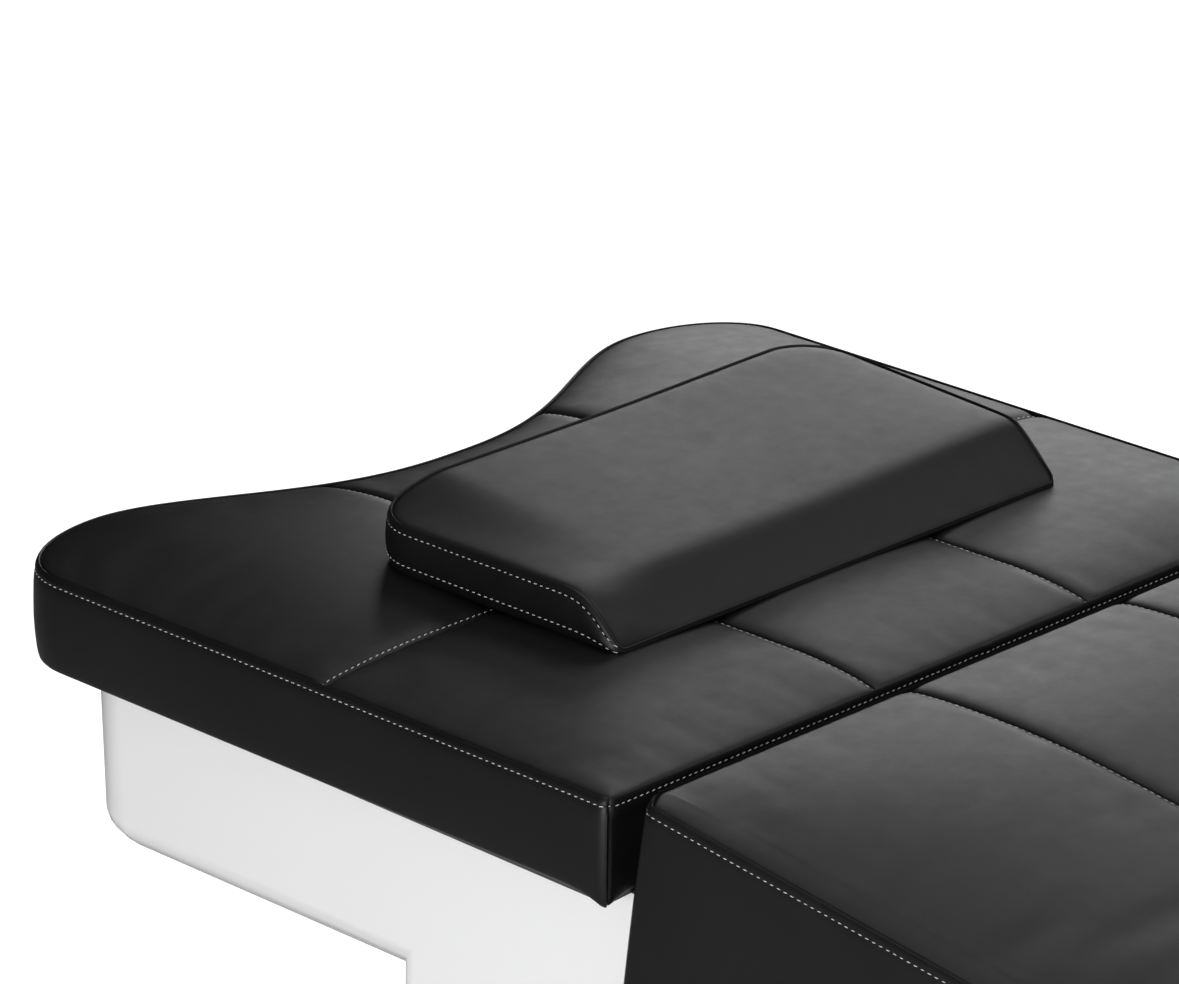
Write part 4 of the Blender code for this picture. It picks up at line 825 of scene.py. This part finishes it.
def makePillow():
    low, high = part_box("pillow")
    look = {
        "halfWidth": (high.x - low.x) / 2, "length": high.y - low.y, "seams": [], "crossSeams": [], "marks": [],
        "corners": [("near", 7 * mm, 7 * mm, 0), ("far", 45 * mm, 45 * mm, 0)], "fine": 0.6 * mm, "coarse": 7 * mm,
        "lip": 6 * mm, "frontRun": 56 * mm, "frontBend": 2.6, "plateau": 41 * mm,
        "ridge": 40.5 * mm, "ridgeAt": 41 * mm, "back": 53 * mm, "softness": 3 * mm, "nearRun": 80 * mm,
        "farLift": 4 * mm, "farRun": 260 * mm, "frontClear": 3 * mm, "lowRow": 2,
        "bandLevels": [(0.3, 0.5 * mm), (0.6, 0.2 * mm), (0.82, -0.8 * mm), (1.0, -2.2 * mm)], "tuck": 6 * mm,
        "pucker": {"seed": 3.0, "size": 15 * mm, "depth": 0.7 * mm, "at": 13 * mm, "run": 8 * mm},
        "puff": {"cell": 14 * mm, "stiffness": 25, "bending": 2.0, "spareCloth": 0.002, "pressure": 1.2,
                 "frames": 20, "height": 1.5 * mm},
    }

    def seamHeight(along):
        rise = 1 - np.abs(1 - np.clip(along / look["frontRun"], 0, 1)) ** look["frontBend"]
        return look["lip"] + (look["plateau"] - look["lip"]) * rise

    def top(across, along):
        # up the front to a soft ridge, then on up to the back; the near end follows its rounder seam
        front = look["lip"] + (look["ridge"] - look["lip"]) * along / look["ridgeAt"]
        behind = (along - look["ridgeAt"]) / (look["length"] - look["ridgeAt"])
        plate = look["ridge"] + (look["back"] - look["ridge"]) * behind
        middle = -look["softness"] * np.logaddexp(-front / look["softness"], -plate / look["softness"])
        inward = smoothStep(look["halfWidth"] + across, look["nearRun"])
        lift = look["farLift"] * smoothStep(across + look["farRun"] - look["halfWidth"], look["farRun"])
        return middle * inward + seamHeight(along) * (1 - inward) + lift * np.clip(along / look["ridgeAt"], 0, 1)

    def sewnRings(outline):
        # two rows, at the strip and low on the band, round both ends and the back but not along the front
        sewnHere = outline[:, 1] > look["frontClear"]
        first = int(np.argmax(sewnHere & ~np.roll(sewnHere, 1)))
        picked = (first + np.arange(sewnHere.sum())) % len(outline)
        return [(stitchLevel, picked), (len(shoulder) + look["lowRow"], picked)]

    def even(outline):
        return np.ones(len(outline))

    look.update(far=lambda x: look["length"], top=top, roll=even, bandRoll=even, joins=[], sewnRings=sewnRings,
                bottom=lambda outline: np.zeros(len(outline)), underside=lambda ring: [])
    place = Matrix.Translation(((low.x + high.x) / 2, low.y, low.z))
    piece, rows = padPiece("pillowCover", look, place, leather)
    finishPad(piece, rows, "pillow", ["pillow"], seed=14)


makePillow()


# Finishes of the other CAD parts

def dressFrame():
    slots = {"base_frame": "frame_steel", "lift_frame": "frame_steel", "head_frame": "frame_steel",
             "body_frame": "frame_steel", "leg_frame": "frame_steel", "plinth_cover": "white_shell",
             "upper_shell": "white_shell", "hinge_shaft": "plated_steel", "control_box": "housing_plastic",
             "power_inlet": "housing_plastic"}
    endings = {"_board": "plywood", "_pin": "plated_steel", "_rod": "plated_steel", "_tube": "housing_plastic"}
    starts = {"levelling_foot": "rubber", "rest_buffer": "rubber", "column_": "column_aluminium",
              "lift_drive": "housing_plastic", "leg_hinge_pin": "plated_steel"}
    for name, node in nodes.items():
        found = slots.get(name)
        for start, finish in starts.items():
            found = finish if name.startswith(start) else found
        for end, finish in endings.items():
            found = finish if name.endswith(end) and not found else found
        if "_bush_" in name:
            found = "nylon"
        material = finishes.get(found, leather)
        if name == "body_board":
            material = plywood("birchPlywoodSloping", bodySlope)
        for slot in node.material_slots:
            slot.material = material


dressFrame()
print("frame dressed")


# The white shell as a merged copy of its CAD part, whose curves shade smoothly

def smoothCopy(name, node, body, material):
    look = {"merge": 0.005 * mm, "sharp": 28}
    mesh = bpy.data.meshes.new(name)
    merged = bmesh.new()
    merged.from_mesh(nodes[node].data)
    bmesh.ops.remove_doubles(merged, verts=merged.verts, dist=look["merge"])
    merged.to_mesh(mesh)
    merged.free()
    mesh.materials.clear()
    mesh.materials.append(material)
    mesh.shade_smooth()
    mesh.set_sharp_from_angle(angle=math.radians(look["sharp"]))
    piece = bpy.data.objects.new(name, mesh)
    scene.collection.objects.link(piece)
    weighted = piece.modifiers.new("flatFacesStayFlat", "WEIGHTED_NORMAL")
    weighted.weight, weighted.keep_sharp = 100, True
    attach(piece, body)
    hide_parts(node)
    print("smooth copy", name, len(mesh.polygons), "faces")


smoothCopy("shellMoulding", "upper_shell", "carriage", finishes["white_shell"])


# Camera, world, floor and lamps

def makeCamera():
    # as recovered from the photograph
    view = {"place": (-3.0527, -2.1264, 2.305), "yaw": -46.45, "pitch": 21.02, "roll": 0.756, "lens": 182.37,
            "sensor": 36}
    camera = bpy.data.objects.new("camera", bpy.data.cameras.new("camera"))
    camera.data.lens, camera.data.sensor_width = view["lens"], view["sensor"]
    camera.matrix_world = (Matrix.Translation(view["place"]) @ Matrix.Rotation(math.radians(view["yaw"]), 4, "Z")
                           @ Matrix.Rotation(math.radians(90 - view["pitch"]), 4, "X")
                           @ Matrix.Rotation(math.radians(view["roll"]), 4, "Z"))
    camera.data.clip_start, camera.data.clip_end = 0.1, 60
    scene.collection.objects.link(camera)
    scene.camera = camera


def areaLamp(name, place, target, size, power):
    lamp = bpy.data.lights.new(name, "AREA")
    lamp.shape, lamp.size, lamp.size_y, lamp.energy = "RECTANGLE", size[0], size[1], power
    made = bpy.data.objects.new(name, lamp)
    way = Vector(target) - Vector(place)
    made.matrix_world = Matrix.Translation(place) @ way.to_track_quat("-Z", "Y").to_matrix().to_4x4()
    scene.collection.objects.link(made)


def makeWorld():
    # white to the camera; in the reflections the studio is pale on the camera's side and dark behind the bed
    look = {"fill": 0.267, "bright": 0.4, "dim": 0.0, "towards": (-0.2, -1.0, 0.1), "from": 0.3, "to": 0.9}
    world = bpy.data.worlds.new("studio")
    scene.world = world
    world.use_nodes = True
    tree = world.node_tree
    tree.nodes.clear()
    rays = addNode(tree, "ShaderNodeLightPath")
    coords = addNode(tree, "ShaderNodeTexCoord")
    side = addNode(tree, "ShaderNodeVectorMath", operation="DOT_PRODUCT")
    side.inputs[1].default_value = Vector(look["towards"]).normalized()
    wire(tree, (coords.outputs["Generated"], side.inputs[0]))
    studio = spread(tree, side.outputs["Value"], look["dim"], look["bright"], look["from"], look["to"])
    lit, seen = addNode(tree, "ShaderNodeMix"), addNode(tree, "ShaderNodeMix")
    lit.inputs["A"].default_value = look["fill"]
    seen.inputs["B"].default_value = 1.0
    mirror = addNode(tree, "ShaderNodeMath", operation="MAXIMUM")
    background, output = addNode(tree, "ShaderNodeBackground"), addNode(tree, "ShaderNodeOutputWorld")
    background.inputs["Color"].default_value = (1, 1, 1, 1)
    wire(tree, (rays.outputs["Is Glossy Ray"], mirror.inputs[0]),
         (rays.outputs["Is Transmission Ray"], mirror.inputs[1]),
         (mirror.outputs[0], lit.inputs["Factor"]), (studio, lit.inputs["B"]),
         (rays.outputs["Is Camera Ray"], seen.inputs["Factor"]), (lit.outputs["Result"], seen.inputs["A"]),
         (seen.outputs["Result"], background.inputs["Strength"]), (background.outputs[0], output.inputs["Surface"]))


def makeFloor():
    # white to the camera by its glow, with the object's shadow kept, and grey in the light that it sends back
    look = {"size": 14.0, "colour": (0.42, 0.42, 0.42), "mottle": (0.44, 0.44, 0.44), "glow": 0.95}
    half = look["size"] / 2
    material, tree, shader = newMaterial("studioFloor")
    shader.inputs["Roughness"].default_value = 0.9
    shader.inputs["Specular IOR Level"].default_value = 0.0
    wide = noiseAt(tree, objectPlace(tree), 1.5, 2.0)
    wire(tree, (blendColours(tree, wide, look["colour"], look["mottle"]), shader.inputs["Base Color"]))
    rays = addNode(tree, "ShaderNodeLightPath")
    glow = addNode(tree, "ShaderNodeMath", operation="MULTIPLY")
    glow.inputs[1].default_value = look["glow"]
    shader.inputs["Emission Color"].default_value = (1, 1, 1, 1)
    wire(tree, (rays.outputs["Is Camera Ray"], glow.inputs[0]), (glow.outputs[0], shader.inputs["Emission Strength"]))
    corners = [(-half, -half, 0), (half, -half, 0), (half, half, 0), (-half, half, 0)]
    floor = meshPiece("studioFloor", corners, [(0, 1, 2, 3)], material)


makeCamera()
makeWorld()
makeFloor()
# place, aim, size and power of each lamp: the softboxes shine on the leather, the last one lights the shell
lamps = {
    "softboxBehind": ((1.60, 1.80, 1.20), (0.1, 0.5, 0.68), (1.0, 0.7), 7.5),
    "softboxRight": ((2.221, 1.207, 0.98), (0.1, 0.5, 0.68), (0.5, 0.5), 3.5),
    "softboxHigh": ((1.20, 1.15, 1.85), (-0.1, 0.1, 0.68), (1.0, 0.6), 4.5),
    "overhead": ((-0.2, 0.2, 2.7), (0, 0.2, 0.68), (1.6, 1.6), 17),
    "overheadRight": ((1.6, -0.6, 2.2), (0, 0.3, 0.68), (1.4, 1.4), 9),
    "overheadBack": ((0.2, 2.0, 2.6), (0, 0.5, 0.68), (1.4, 1.4), 2),
    "frontLeft": ((-2.7, -0.35, 0.8), (-0.36, 1.1, 0.4), (1.4, 1.0), 52),
}
for name, values in lamps.items():
    areaLamp(name, *values)
print("studio set:", len(lamps), "lamps")
